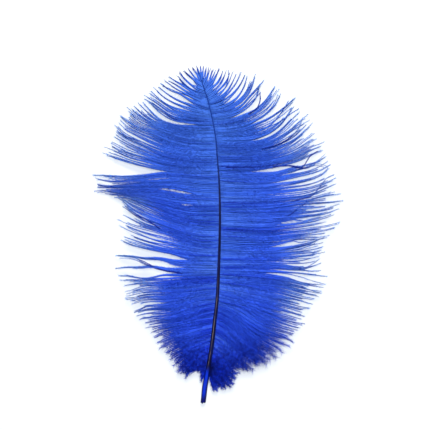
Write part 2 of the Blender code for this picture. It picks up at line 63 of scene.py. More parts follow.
# The lines of the barbs, read off the photograph. Each is the place along Y where it leaves the shaft,
# the share of its length where it parts from the next line down, and x, y of places along it, the last
# at its point. TOGETHER is the share of a line that stays with the next one until near its point.
TOGETHER = 0.7
LEFT_LINES = [
    (83.5, 0.5, -9.6, 87.6, -10.7, 90.3),
    (82, 0.5, -10.6, 86.2, -13, 89.7),
    (80.5, 0.5, -10.5, 82.8, -15.5, 89),
    (79, 0.45, -12.5, 83, -17.5, 88),
    (76.5, 0.45, -13, 79.5, -16, 82.2, -20, 87),
    (74.8, 0.5, -13.2, 77.5, -17, 80.4, -20.8, 84.9),
    (73.8, 0.5, -10.5, 75.2, -15, 77.5, -20, 81, -25, 84.3),
    (70.2, 0.4, -8, 71.2, -14, 73.8, -20, 76.8, -27.5, 82),
    (67.5, 0.4, -13, 71, -20, 75.1, -25.5, 77.4, -29, 80.2),
    (65.4, 0.45, -7, 66, -13, 68.8, -20, 71.6, -25, 74.2, -30.5, 78.2),
    (64.2, 0.5, -15, 67.4, -22, 70, -28, 73.2, -33, 77.7),
    (63, 0.5, -18, 65.9, -25, 68.7, -30, 72.2, -35, 76.8),
    (62, 0.45, -16, 64.1, -23, 66.7, -29, 70.4, -36, 75.4),
    (61, 0.45, -15.5, 62.4, -20, 63.6, -26, 66, -32, 70.2, -38, 74),
    (60, 0.45, -17, 60.7, -24, 62.6, -29, 66, -34, 69.6, -39, 72.5),
    (59, 0.2, -15, 59.4, -22, 60.6, -26, 62.4, -30, 65.2, -34, 69),
    (56.6, TOGETHER, -12, 57, -22, 58, -27, 59.6, -31, 61.9, -34.5, 65.3, -39, 70),
    (55, TOGETHER, -10, 55.2, -18, 56.2, -24, 57.7, -29, 59.8, -34, 62.9, -38, 66.3, -41.8, 70.2),
    (53.5, TOGETHER, -10, 53.7, -18, 54.7, -25, 56.7, -31, 59, -36, 61.4, -40, 64.4, -44.6, 69),
    (52, 0.65, -10, 52.1, -18, 53.2, -25, 55.2, -31, 57.4, -38, 60.9, -42, 63.4, -47, 67.8),
    (50.4, 0.6, -10, 50.4, -16, 50.9, -21, 52.2, -26, 53.9, -32, 56.2, -37, 58, -40, 59.2,
     -43.4, 61.6, -47.5, 65.7),
    (48.6, TOGETHER, -10, 48.8, -16, 49.5, -21, 50.6, -26, 52.2, -32, 54.4, -38, 56.2, -41.5, 57.5,
     -45, 60, -51, 64),
    (46.8, TOGETHER, -10, 47, -16, 47.7, -21, 48.8, -26, 50.6, -31, 52.6, -37, 54.9, -42, 56.6,
     -46, 59.4, -51.6, 63.4),
    (44.8, 0.62, -8, 44.9, -14, 45.2, -19, 45.9, -24, 47.1, -29, 49.4, -33, 51.3, -38, 53.3,
     -43, 55.6, -48, 58.6, -51.5, 62),
    (43, 0.5, -8, 43.3, -15, 43.9, -22, 45, -28, 46.4, -32, 47.8, -36, 49.5, -40, 51.5, -44, 53.6,
     -49, 56.4, -53, 60.2),
    (40.6, 0.5, -10, 40.9, -20, 41.8, -27, 43, -33, 45, -37, 46.8, -41, 49, -45, 50.9, -50, 53.6,
     -54.4, 58),
    (38.6, 0.5, -10, 39, -20, 40.1, -27, 41.7, -33, 43.8, -38, 46.2, -45, 49.3, -50, 52.2, -55.3, 56.6),
    (37, 0.6, -12, 37.6, -20, 38.6, -27, 40.2, -33, 42, -40, 44.8, -45, 47, -50, 49.6, -55.5, 53),
    (35.8, 0.55, -12, 36.4, -20, 37.4, -27, 38.8, -33, 40.3, -40, 42.5, -46, 44.5, -52, 47.6,
     -56.4, 50.2),
    (34.8, 0.6, -12, 35.3, -18, 36, -26, 37.3, -32, 38.6, -38, 40.4, -46, 42.5, -52, 45, -58.3, 48.5),
    (33.8, 0.5, -12, 34.2, -18, 34.8, -26, 35.8, -32, 37.1, -38, 38.8, -46, 41, -53, 44, -59, 46.5),
    (32.8, 0.3, -10, 33, -18, 33.5, -26, 34.2, -30, 34.8, -35, 35.8, -44, 38, -52, 40.5, -59.8, 43),
    (31, 0.95, -8, 31.2, -15, 31.8, -24, 32.3, -30, 32.2, -35, 31.6, -40, 31.1, -50, 30.8, -65, 31.5),
    (28, 0.78, -6, 28.2, -12, 28.9, -20, 29.7, -25, 30, -35, 29.3, -45, 28.7, -56, 28.4, -66, 30.4),
    (25, 0.9, -5, 25.1, -10, 25.6, -18, 26.5, -24, 27, -30, 27, -40, 27, -50, 26.3, -58, 26,
     -66.3, 27.4),
    (21.8, 0.85, -6, 21.8, -12, 22.2, -20, 23.7, -27, 24.8, -33, 24.9, -42, 24.8, -50, 25, -58, 25,
     -66, 25.2),
    (19.4, 0.95, -7, 19.4, -13, 19.7, -20, 20.8, -26, 22, -32, 22.9, -40, 23, -48, 23.6, -55, 23.8,
     -65.6, 23.2),
    (16.8, 0.9, -8, 16.7, -15, 16.9, -22, 17.7, -30, 19.2, -38, 20.8, -46, 22.1, -54, 22.9,
     -63.6, 22.6),
    (14.2, 0.85, -8, 14.2, -15, 14.5, -22, 15.6, -30, 17.3, -38, 19.2, -46, 21, -54, 22.2, -61.5, 22.2),
    (11.6, 0.65, -8, 11.5, -14, 11.8, -20, 13, -27, 15.2, -34, 17.2, -41, 18.9, -47, 20.6, -60, 21.8),
    (8.6, 0.6, -10, 8.8, -15, 9.3, -20, 10.4, -25, 12.4, -30, 14.4, -36, 16.4, -42, 18.2, -48, 20.2,
     -59, 21.4),
    (6, 0.6, -8, 6.2, -14, 7, -20, 8.4, -26, 10.4, -32, 12.8, -37, 15, -42, 17.2, -46.4, 19, -55, 20.6),
    (3.2, 0.6, -7, 3.4, -13, 4.2, -19, 5.8, -25, 8, -31, 10.2, -37, 12.6, -42, 15, -46, 16.8,
     -52.4, 20.2),
    (0.6, 0.6, -6, 0.6, -12, 1.3, -18, 3, -24, 5, -30, 7.2, -35, 9.1, -40, 11.3, -45, 14.2, -49, 17.5,
     -53, 20),
    (-2, 0.6, -6, -2.2, -11, -1.6, -16, 0.1, -22, 2, -28, 3.9, -33, 5.3, -38, 6.9, -43, 9.6,
     -47, 12.6, -51, 15.4),
    (-4.4, 0.5, -6, -4.6, -11, -3.8, -15, -2.3, -20, -0.4, -26, 1.7, -31, 3, -36, 4.4, -41, 6.2,
     -46, 8.8, -50.5, 10.9),
    (-6.4, 0.5, -7, -6.4, -11, -5.6, -15, -4, -20, -2.2, -25, -0.4, -30, 1, -38, 3, -43, 4.4,
     -48, 6.2, -52.8, 8.3),
    (-8, 0.5, -7, -7.8, -13, -6.9, -20, -5.4, -26, -4.2, -32, -3.2, -38, -1.3, -43, 0.6, -48, 2.8,
     -52, 4.8),
    (-10.4, 0.55, -10, -10.2, -20, -9, -30, -6.9, -38, -5, -45, -2.8, -51.3, -0.8),
    (-12.2, 0.32, -8, -12, -15, -11.5, -25, -9.5, -33, -8, -40, -6.5, -46, -5, -51, -3),
    (-15.4, 0.45, -10, -15.1, -20, -14.5, -30, -12.7, -38, -12.5, -45, -11.5, -53.5, -11),
    (-19.4, 0.4, -12, -19.4, -25, -18.6, -32, -17.1, -36, -16.9, -40, -17.3, -48, -17.4, -54.5, -18),
    (-20.9, 0.35, -8, -20.8, -15, -21.1, -22, -21.5, -28.5, -21.6, -33.5, -22.7, -38.2, -23.3,
     -41.3, -23.1, -46.4, -22.2, -52.5, -22.2),
    (-22.8, 0.55, -8, -22.9, -16.4, -23.3, -25.3, -23.9, -33.8, -24.2, -38.9, -24.6, -45.7, -24.2,
     -51.8, -23.9),
    (-24.7, 0.65, -8, -24.9, -16.4, -25.4, -23.3, -25.7, -28.7, -26, -33.5, -26.3, -39.9, -25.9,
     -45.7, -26.6, -50.5, -27.5),
    (-26.2, 0.62, -8, -26.6, -16.4, -27.2, -25, -27.5, -32, -27.5, -37.2, -27.2, -41.6, -28,
     -45.7, -29.4, -49.4, -30),
    (-27.6, 0.62, -8, -28.1, -15, -28.8, -21.9, -29.4, -31.4, -29.9, -36.9, -30.2, -40.9, -30.8,
     -45, -31.8, -49.3, -32.6),
    (-29, 0.62, -8, -29.8, -15.4, -30.9, -21.9, -31.7, -27.3, -32.1, -33, -32, -38, -32.4, -43, -33.6,
     -49, -34.4),
    (-30.3, 0.6, -7.6, -31.1, -16.4, -32.9, -22, -33.9, -28, -34.4, -36.2, -34.4, -40.6, -35,
     -44, -36.2, -47.7, -36.6),
    (-31.6, 0.6, -7.6, -32.2, -16.4, -34.2, -21.9, -35.5, -26.7, -36.4, -33, -36.6, -38, -37.2,
     -42, -38.5, -47, -39.7),
    (-33.4, 0.62, -8, -34.4, -14, -36, -18.5, -37.4, -25.3, -38.6, -33.5, -38.8, -38, -39.4,
     -42, -40.6, -45.4, -41.3),
    (-35.4, 0.6, -8, -36.6, -14, -38.2, -20.2, -40, -26.7, -41, -33.5, -41.4, -38.2, -42, -44, -43.6),
    (-37.4, 0.62, -4.9, -38, -13.4, -40.4, -21.9, -43, -26.7, -43.9, -32, -44, -37, -44.4,
     -42.3, -45.4),
    (-39.4, 0.62, -6, -40.3, -13, -42.4, -20, -44.3, -25.7, -45.4, -31, -46, -36, -46.8, -40.8, -47.6),
    (-41.6, 0.66, -6, -42.5, -13, -44.4, -20, -46.1, -27, -47.2, -33, -48.2, -39, -49.8),
    (-43.8, 0.66, -6, -44.7, -13, -46.3, -19.3, -47.6, -25, -48.8, -31, -50.6, -37.5, -53.2),
    (-46.2, 0.7, -6, -47.1, -13, -48.7, -19.3, -50.2, -25, -51.4, -29.8, -52.8, -34.4, -55),
    (-48.6, 0.7, -6, -49.7, -12, -51.5, -17.9, -53.1, -24, -54.5, -28.5, -56.2, -32, -58),
    (-51, 0.7, -7, -52.2, -12.8, -54, -18.9, -55.7, -23.2, -57.2, -27, -59, -31, -61.2),
    (-53.4, 0.7, -6, -54.6, -12, -56.7, -18, -58.9, -23, -60.9, -28, -63.4),
    (-55.8, 0.7, -6, -57, -12, -59.6, -18, -62.2, -22, -64.4, -25.5, -67),
    (-58, TOGETHER, -7, -59.6, -11.3, -61.6, -16, -64.4, -20, -67.4, -23.3, -70.4),
    (-60.2, TOGETHER, -6.5, -61.6, -10.4, -63.6, -14, -66.4, -17.4, -69.8, -19.6, -72.4, -21.6, -74.5),
    (-62.2, TOGETHER, -6.8, -63.6, -10, -65.8, -13, -68.4, -16, -71.8, -18.8, -74.6),
    (-64.4, TOGETHER, -6.8, -65.8, -9.6, -67.8, -12, -70.4, -14.8, -73.6, -16.6, -77),
    (-66.2, TOGETHER, -6.6, -67.6, -8.8, -69.4, -11, -71.6, -13, -73.4),
    (-68, TOGETHER, -6.4, -69.4, -8.2, -71.4, -10, -73.4),
    (-70.2, TOGETHER, -6.2, -71.6, -7.4, -73.8, -8.4, -76),
    (-72.6, 0.6, -6.3, -74.2, -7.1, -76.2, -8, -78.2, -8.6, -80),
]
RIGHT_LINES = [
    (84.5, 0.5, -8.6, 87, -8.4, 90.2),
    (82.5, 0.5, -7.4, 86, -7, 90),
    (80.5, 0.5, -6.6, 84, -5.4, 89.8),
    (79, 0.5, -5.6, 82.4, -3.8, 89),
    (77.8, 0.45, -4.6, 81, -2, 88.4),
    (76.4, 0.5, -4, 79, -1.5, 82.5, 0, 85.6, 1, 89),
    (75.2, 0.45, -2.4, 78.3, 0.5, 81, 2, 83.8, 3, 87.2),
    (74, 0.45, -1.6, 76.6, 1.5, 79.6, 3.5, 83, 5, 87),
    (72.8, 0.45, 0, 75.8, 2.7, 78.4, 5.2, 82, 6.6, 86.4),
    (71.6, 0.45, 1, 74.6, 4.2, 77.6, 6.8, 81.8, 8.5, 86.2),
    (70.4, 0.5, 2, 73.4, 5.6, 76.6, 8.4, 80.8, 10.5, 85.4),
    (69.2, 0.5, 3.5, 72.6, 7.2, 76.2, 10.2, 80.6, 12.5, 85.4),
    (68, 0.55, 2, 69.6, 6.5, 72.6, 10.7, 77, 13, 80.8, 14.5, 84.2),
    (67, 0.5, 3, 68, 8, 70.7, 12.2, 74.6, 14.7, 79, 16.2, 83.4),
    (66, 0.55, 9, 69.5, 13.2, 73, 16, 77.2, 17.6, 81),
    (65, 0.4, 7, 67.2, 12.7, 70.4, 16.5, 74.6, 18.7, 79, 20.4, 84),
    (63.5, 0.45, 8, 65.7, 13.7, 69, 17.7, 73.4, 21, 77, 24.5, 81.4),
    (62, 0.22, 9, 63.4, 14.5, 66.2, 18.5, 69.7, 21.3, 74, 22.6, 78.6),
    (60, 0.6, 8, 60.7, 15, 63.6, 21, 66.4, 25, 70, 28, 74, 30.5, 78),
    (58.4, 0.5, 14, 61.2, 21, 64.4, 26, 68.4, 29.5, 73, 32.5, 77.4),
    (56.8, 0.42, 8, 57.2, 15, 58.7, 22, 61.7, 28, 65.7, 31.6, 69.7, 33.5, 73.6),
    (55.2, 0.6, 8, 55.3, 14, 56.2, 22, 59.2, 28, 62, 33, 65.4, 37, 68.5, 41, 72),
    (53.2, 0.6, 10, 53.2, 20, 54.7, 28, 57.6, 33, 61, 37.5, 65.4, 42, 70.4),
    (50.8, 0.35, 8, 50.6, 15, 50.8, 23, 52.2, 29, 54.8, 34, 58.6, 37.8, 63.6, 40.5, 67.5),
    (48.5, 0.55, 8, 48.3, 16, 48.5, 25, 50, 31, 52.9, 36, 56.8, 40, 61, 44.5, 65),
    (47, 0.5, 8, 46.9, 15, 47, 26, 48.7, 33, 52, 39, 56, 43, 60, 47.5, 64),
    (45.5, 0.65, 8, 45.4, 16, 45.7, 28, 48, 34, 51.2, 40, 55.2, 45, 58.2, 49, 60.6),
    (44, 0.5, 8, 43.9, 15, 44, 28, 45.8, 36, 48.4, 42, 51.6, 46, 55, 50, 58.6),
    (42.5, 0.65, 8, 42.4, 20, 42.8, 33, 45.2, 39, 48.4, 44, 52, 49.5, 56.8),
    (41, 0.5, 8, 40.9, 20, 41, 36, 43.8, 42, 46.6, 47, 50, 52, 53.8),
    (39.5, 0.65, 10, 39.3, 20, 39.5, 35, 42, 42, 44.6, 48, 48, 53.5, 51.2),
    (38, 0.55, 10, 37.9, 20, 38, 36, 40.4, 44, 43.4, 50, 46.9, 56, 49.5),
    (36.5, 0.45, 10, 36.3, 20, 36.5, 38, 39.4, 45, 41.9, 51, 45, 56.5, 47),
    (34.9, 0.35, 10, 34.7, 20, 34.9, 35, 36.9, 43, 39.2, 49, 42, 55, 44.5),
    (32.5, 0.5, 14, 32.1, 25, 32, 34, 33.2, 41, 35.3, 48, 37.2, 54, 38.9, 57.5, 41),
    (30.5, 0.5, 14, 30, 30, 30.6, 40, 32.4, 48, 34, 54, 36.2, 59, 39.4),
    (28.5, 0.36, 14, 28, 24, 28, 31, 28.6, 40, 30.4, 48, 32, 56, 34.4, 61, 37.3),
    (26, 0.5, 14, 25.6, 24, 25.6, 32, 26.6, 42, 27.9, 50, 29.5, 56, 31.7, 59.5, 35),
    (22, 0.5, 14, 21.7, 28, 22.1, 40, 23.2, 50, 24.6, 57, 27, 62.5, 29.6),
    (19, 0.55, 14, 18.6, 26, 18.8, 38, 19.6, 47, 20.8, 53, 22.6, 58, 24.9, 63.5, 27.4),
    (17, 0.45, 14, 16.7, 24, 16.8, 32, 17.4, 40, 18.2, 50, 19.6, 57, 21.6, 63.5, 23.4),
    (14.4, 0.68, 12, 14, 22, 13.9, 34, 15, 44, 16.5, 52, 16.7, 60, 17, 66.4, 17.8),
    (11.2, 0.55, 14, 10.8, 24, 10.8, 34, 11.1, 42, 11.3, 50, 12.2, 57, 13.2, 64.5, 15.4),
    (8.6, 0.72, 12, 8.2, 22, 8, 30, 8.5, 38, 9.2, 45, 9.8, 54, 10.6, 60, 11.9, 65, 13.8),
    (5.6, 0.5, 12, 5.1, 22, 4.7, 30, 5, 37, 5.7, 43, 6.3, 50, 7.2, 57, 8.9, 62, 10.6),
    (2.6, 0.5, 12, 2, 22, 1.4, 29, 1.2, 36, 2, 45, 2.9, 53, 4.1, 60, 5, 65, 6.3),
    (0, 0.5, 12, -0.5, 25, -1, 35, -0.5, 44, 0.5, 52, 1.3, 59, 2.3, 64.5, 3.5),
    (-2.5, 0.6, 12, -2.9, 24, -3, 33, -2.3, 40, -1.6, 47, -1.5, 54, -1.3, 60, -0.2),
    (-6.2, 0.46, 10, -6.8, 18, -7.4, 26, -7.9, 34, -6.9, 41, -5.3, 48, -4.1, 53, -2.8, 57, -1),
    (-8.2, 0.5, 12, -8.8, 22, -9, 31, -8.8, 38, -7.7, 45, -6.2, 51, -4.3, 55.5, -1.9),
    (-9.6, 0.5, 16, -9.9, 28, -9.8, 38, -9.2, 45, -8.8, 52, -7.9, 57, -6.6),
    (-11, 0.55, 12, -11.3, 25, -11, 35, -11, 44, -10.6, 52, -10, 58.5, -8.8),
    (-13, 0.42, 12, -13.2, 25, -13, 34, -13, 42, -12.7, 50, -12.3, 56, -10.9),
    (-15.5, 0.45, 14, -15.8, 28, -15.7, 35, -16.5, 42, -17.6, 47, -17.6, 53, -16, 57, -14.4),
    (-17, 0.4, 18, -17.2, 33, -18, 40, -18.8, 45, -18.9, 50, -19.4, 56, -19.2),
    (-18.4, 0.33, 12, -18.6, 20, -18.9, 30, -19.3, 38, -19.9, 46, -20.7, 52, -21.6, 58.5, -22.3),
    (-20.2, 0.6, 10, -20.5, 18, -20.9, 25, -21.4, 32, -22.3, 39, -23.7, 44, -25.4, 50, -26.4, 56, -27),
    (-21.4, 0.55, 8, -21.8, 16, -22.3, 24, -23, 31, -24.1, 38, -25.4, 45, -26.7, 52, -28.2,
     58.5, -29.3),
    (-22.7, 0.6, 12, -23.5, 20, -24.2, 28, -25.1, 36, -26.6, 44, -28.5, 50, -29.9, 56, -30.8),
    (-24, 0.6, 8, -24.7, 16, -25.5, 24, -26.4, 30, -27.2, 36, -28.3, 43, -30.3, 49, -31.8, 54.6, -33),
    (-25.4, 0.55, 10, -26.5, 18, -27.6, 24, -28.4, 30, -29.4, 37, -31, 44, -32.8, 51, -33.9, 55, -34.9),
    (-26.9, 0.65, 6, -27.6, 12, -28.7, 18, -29.8, 24, -31, 30, -32.3, 36, -33.6, 42, -34.9, 47, -36.6,
     51, -38.1),
    (-28.4, 0.6, 8, -29.6, 14, -31, 20, -32.5, 25, -33.6, 31, -35.2, 37, -36.8, 43, -38.5, 50, -39.5),
    (-30, 0.6, 7, -31.2, 13, -32.8, 19, -34.4, 25, -36.1, 30, -37.4, 35.5, -38.8, 41, -40.3,
     46, -41.8, 50.5, -43.2),
    (-31.7, 0.65, 7, -33, 13, -34.6, 18, -36.1, 23, -37.9, 28, -39.6, 33, -41.1, 38, -42.6, 43, -44.2,
     47.8, -45.5),
    (-33.2, 0.6, 6, -34.4, 11, -35.7, 16, -37.3, 21, -39.4, 26, -41.7, 32, -43.9, 38, -45.7,
     43, -46.8, 49, -48),
    (-34.6, 0.65, 6, -35.9, 11, -37, 15, -38.4, 19, -40.3, 24, -43, 28, -45, 35, -47.5, 40, -49,
     45, -50),
    (-35.8, 0.7, 5, -37, 9, -38.3, 13, -40.2, 17, -42.8, 22, -45.8, 27, -48, 34, -50.4, 39, -51.9,
     43.5, -53.4),
    (-37, 0.7, 5, -38.4, 9, -40.1, 12.4, -42.2, 16, -44.9, 20.6, -47.9, 26, -50.7, 33, -53.4,
     38, -55.4, 41.4, -57.5),
    (-38.6, 0.7, 4.3, -40, 8, -41.8, 11, -43.7, 14, -46.2, 17.6, -49, 22, -52, 28, -55, 34, -57.8,
     39.5, -60),
    (-40.6, 0.7, 3.5, -41.8, 7, -43.8, 10, -45.7, 13, -48.4, 16.6, -51.4, 21, -54.6, 26, -57.6,
     31, -60.2, 35.8, -63.3),
    (-43, 0.7, 2.6, -44.2, 5.6, -45.9, 8.6, -48.1, 11.6, -50.7, 14.6, -53.8, 18.6, -57.2, 23, -60,
     28, -62.8, 32.6, -65.8),
    (-45.8, 0.72, 2.4, -47, 5, -48.5, 8, -50.8, 11, -53.6, 14, -56.6, 18, -59.8, 22, -62.2, 26, -64.9,
     30, -68),
    (-48.6, 0.72, 2, -49.8, 5, -51.5, 8, -53.8, 11, -56.6, 14, -59.4, 18, -62.8, 21.6, -65.2,
     24.6, -67.4, 27.5, -70.2),
    (-51.4, TOGETHER, 1.6, -52.7, 4.4, -54.6, 7.2, -57, 10, -59.6, 13, -62.4, 16.6, -65.4, 19.8, -68,
     22.2, -70.4),
    (-54.2, TOGETHER, 1, -55.4, 3.6, -57.4, 6.4, -60, 9.2, -62.8, 12, -65.6, 15, -68.6, 17.6, -70.8,
     19.6, -73),
    (-57, TOGETHER, 0.6, -58.4, 3, -60.4, 5.6, -63, 8, -65.6, 10.6, -68.2, 13.4, -70.3, 17, -72.6),
    (-59.8, TOGETHER, 0, -61.4, 2, -63.6, 4, -66.4, 5.8, -69.4, 7.6, -72, 10, -73.8, 12.6, -73.9),
    (-62.2, TOGETHER, -0.6, -63.8, 1.2, -66.2, 3.2, -69.6, 5.6, -73.2, 8, -75.8, 10.5, -78),
    (-64.4, 0.7, -1.2, -66, 0.4, -68.6, 2.4, -72.2, 5, -76, 7.6, -78.4, 10, -80),
    (-66.4, 0.7, -1.8, -68, -0.4, -70.8, 1.6, -74.4, 4, -78, 6, -80, 8, -81.8),
    (-68.2, 0.7, -2.6, -69.8, -1.2, -72.6, 0.6, -76, 2.8, -79.4, 4.4, -81.2, 5.7, -82.6),
    (-69.8, 0.7, -3, -71.4, -1.9, -74.2, -0.4, -77.4, 1.4, -80.6, 3.4, -83.2),
    (-71.4, 0.7, -3.4, -73.2, -2.6, -75.8, -1.6, -78.8, -0.4, -81.4, 0.7, -83.6),
    (-73, 0.7, -3.8, -75, -3.3, -77.8, -2.6, -81, -1.7, -84.4),
]
# Loose barbs that lie across the others, as x, y of places along each.
LOOSE_LINES = [
    (-18, -20.4, -25, -19.5, -33, -17.5, -37, -16, -43, -13, -49.5, -11.2),
    (-20, -20, -28, -18.8, -34, -16.8, -39, -14.4, -44.4, -12.6, -51, -12),
    (54, 44.5, 52.4, 43.6, 50, 42, 48.4, 39.8, 47, 37.5, 43, 34.5, 38, 33),
    (34, 15.8, 45, 19, 51, 21, 55.5, 26, 58.5, 30, 62.5, 32),
    (30, 8.6, 38, 10, 44, 14.5, 52, 19, 58, 20.8, 65.5, 21.5),
    (32, -17.4, 42, -17.9, 48, -17.2, 51.6, -15.2, 54.5, -13),
    (24, 45.6, 33, 48.2, 40, 52.6, 44, 57.4, 45.4, 61.6),
    (17, 64.2, 22, 68.2, 23.4, 72.6, 22.9, 76.8),
    (-30, 3.4, -38, 8.4, -44, 11.2, -50, 17.8),
    (30, 36, 40, 36.6, 47, 35.4, 54, 37.4, 58.4, 36),
]
# Thin places, where the barbs draw aside: x, y of the middle, half length, half width, the angle of the
# long way in degrees, and how far the barbs underneath give way too. As far as they don't, a thin veil of
# them is left, coloured grey-blue as painted shade: the shaded surface seen through it.
THIN_PLACES = [
    (-21, 22.9, 10, 0.5, 169, 0.0),
    (-15.5, 15.7, 2.3, 0.45, 172, 1.0),
    (-31.2, 29.6, 6, 0.3, 5, 1.0),
    (41, 7.1, 8, 0.5, 10, 0.0),
    (40, -4.4, 8, 0.5, 12, 0.0),
    (33, -20.9, 6, 0.22, -6, 0.0),
]
# Where many strands are gathered into one point at the left: x, y of the middle, half length and half
# width.
GATHERED_AT = (-52, 25, 19, 5.5)

# The sizes of a barb's parts

SEED = 11
# How many places a line, and how many rings a barb, is worked out in.
LINE_PLACES = 41
BARB_RINGS = 22
# The distance between barbs, measured partly at their roots and partly near their points.
BARB_SPACING = 0.72
SPACING_FROM_ROOTS, SPACING_FROM_POINTS = 0.45, 0.55
BARB_HALF_WIDTH = 0.48
LOOSE_HALF_WIDTH = 0.24
BARB_HALF_THICKNESS = 0.06
BARB_TAPER, THICKNESS_TAPER = 0.6, 0.65
LEAST_HALF_WIDTH, LEAST_HALF_THICKNESS, LEAST_UNDER_HALF_WIDTH = 0.05, 0.03, 0.02
# The narrowest and the widest barb, as shares of the usual width, and the power that spaces its rings.
BARB_WIDTHS, RINGS_CLOSER_OUT = (0.8, 1.15), 0.9
# How far a blade is rolled about its own line, in radians, and how often it turns to and fro along it.
BLADE_ROLL, UNDER_ROLL, BLADE_TURNS = 0.38, 0.04, 1.5
# How far out the barbs of a wisp stand from its line, and over what share of their length they draw in
# to it.
WISP_HALF_WIDTH = 1.6
WISP_DRAWS_IN_OVER = 0.24
# A line that parts earlier than this has a slimmer wisp.
SLIMMER_BEFORE = 0.42
# How far the barbs of a line lie above its place in the droop, from one line to another and from barb
# to barb.
LINE_LIFT, BARB_LIFT_SPREAD = (0.1, 1.5), 0.15
# A barb's tone, from its own line, from the line before it and from itself.
TONE_FROM_LINE, TONE_FROM_NEXT_LINE, TONE_OF_BARB = 0.45, 0.2, 0.75
# How far a barb waves, how far its point strays, how far the point of a wild one strays and how many
# are wild.
BARB_WAVE, BARB_STRAYS, WILD_BARB_STRAYS, WILD_BARBS = 0.16, 0.35, 2.3, 0.15
# The down is shorter on a barb that is shorter than this.
LONG_BARB = 42.0
# Between two lines whose points are nearer than this there is a wisp more. Near the tip of the feather,
# where the lines stand closer, there is one only from a distance on.
WISP_BETWEEN_UNDER = 7.0
TIP_WISPS_FROM, TIP_WISP_BETWEEN_OVER = 62.0, 3.0
BETWEEN_REACH = 0.97
# The lines of the tables end where the barbs are still plain; as single hairs they go on this far, by
# root's Y.
LEFT_HAIR_BEYOND = [(-18, 0.05), (4, 0.8), (40, 1.6), (70, 1.5), (80, 0.3)]
RIGHT_HAIR_BEYOND = [(-40, 0.05), (-15, 0.8), (15, 2.0), (68, 2.2), (78, 0.5)]
# The parting shares of the tables are where a gap is plain; the barbs begin to draw together at this
# share of them, by the root's Y.
LEFT_PARTS_EARLIER = [(-48, 1.1), (-34, 0.94), (-22, 0.76), (-5, 0.76), (56, 0.72), (66, 0.54), (76, 0.48)]
RIGHT_PARTS_EARLIER = [
    (-48, 1.12), (-18, 1.02), (0, 0.86), (15, 0.88), (30, 0.82), (56, 0.74), (66, 0.54), (76, 0.48),
]
# A wisp between two lines is there only where the upper one parts beyond this share of the parting
# share that is usual there, and it parts a little later than that one.
WISP_BETWEEN_FROM_PART, WISP_PARTS_LATER = 0.4, 0.03
# A barb with more than this tone is a dark one: this far above the down of the others, and with this
# share of width.
DARK_TONE, DARK_BARB_LIFT, DARK_BARB_WIDTH = 0.75, 0.4, 0.6
# The barbs underneath lie this far below the others, this many between two lines, and end when they are
# this share of the line's length past the place where the two lines part.
UNDER_DROP = 0.45
UNDER_PER_GAP = 2
UNDER_PAST_PARTING = 0.11
# Half the width of such a barb, as a share of its part of the gap, what is added to it, and its lift.
UNDER_SHARE_OF_GAP, UNDER_MORE_WIDTH, UNDER_LIFT = 0.62, 0.12, 0.8
# The loose barbs lie this far above the droop of the others, which is worked out for a vane this wide.
LOOSE_LIFT, LOOSE_VANE_WIDTH = 0.8, 66
# A wisp's middle stands this far above its edges, and its barbs' points differ this much in height.
WISP_CROWN, POINT_HEIGHT_SPREAD = 0.5, 0.16
# How high the barbs' points lie, by the root's Y, and how the barbs fall towards them.
POINT_LIFT = [(-84, 0.4), (-62, 2.6), (-38, 3.6), (-12, 2.2), (14, 0.2), (90, 0.1)]
DROOP_POWER = 1.8
LEAST_HEIGHT = 0.12
# How far above the shaft's centre line the barbs leave it, by the root's Y: near the tip they leave it
# lower down.
LEAVES_AT = [(45, 0.1), (75, -0.2)]
# The down: how many darts a millimetre of barb has, their size, their length at the shaft and what is
# added to it a third of the way out, and how much of it is lost where the barbs have parted.
DOWN_PER_MM = 6.1
DOWN_HALF_WIDTH = 0.085
DOWN_HALF_THICKNESS = 0.035
DOWN_LENGTH, DOWN_LENGTH_MORE, DOWN_LOST_BEYOND = 1.7, 1.3, 0.6
# The angles at which darts leave their barb, in degrees, and how much they change towards its point and
# in the fluff.
DOWN_ANGLES, DOWN_ANGLE_CHANGE = (24, 58), 14
# A barb in a thin place moves aside by the first of these and where it is within the second, both in
# half widths.
MOVES_ASIDE, MOVES_ASIDE_WITHIN = 1.5, 2.6
# The trough in the shaft: where it is round the shaft and its half width there, in radians, and its
# depth as a share of the radius. The hollow's radius is a share of the shaft's.
TROUGH_TURN, TROUGH_HALF_TURN, TROUGH_DEPTH = 1.75, 0.34, 0.34
HOLLOW_SHARE, HOLLOW_RINGS = 0.66, 14


def along(table, y):
    """The value of a (y, value) table at y, between its points in straight steps."""
    places, values = zip(*table)
    return np.interp(y, places, values)


def smoothstep(x):
    """0 below 0, 1 above 1, and 3x^2 - 2x^3 between."""
    x = np.clip(x, 0.0, 1.0)
    return x * x * (3 - 2 * x)


def smooth_line(points, count):
    """`count` places at equal distances along a smooth line through the points.

    Each stretch is a cubic. Its slope at a point is the mean of the straight slopes on the point's two
    sides, each weighed by the length of the other side.
    """
    points = np.array(points, float)
    step = np.linalg.norm(np.diff(points, axis=0), axis=1)
    place = np.concatenate([[0.0], np.cumsum(step)])
    slope = np.diff(points, axis=0) / step[:, None]
    weight = step[:, None]
    inner = (weight[1:] * slope[:-1] + weight[:-1] * slope[1:]) / (weight[:-1] + weight[1:])
    tangent = np.vstack([slope[:1], inner, slope[-1:]])
    fine = np.linspace(0, place[-1], 12 * len(points))
    before = np.clip(np.searchsorted(place, fine, side="right") - 1, 0, len(step) - 1)
    after = before + 1
    length = step[before][:, None]
    s = (fine - place[before])[:, None] / length
    curve = (
        (2 * s**3 - 3 * s**2 + 1) * points[before]
        + (s**3 - 2 * s**2 + s) * length * tangent[before]
        + (3 * s**2 - 2 * s**3) * points[after]
        + (s**3 - s**2) * length * tangent[after]
    )
    walked = np.concatenate([[0.0], np.cumsum(np.linalg.norm(np.diff(curve, axis=0), axis=1))])
    at = np.linspace(0, walked[-1], count)
    return np.stack([np.interp(at, walked, column) for column in curve.T], axis=1)


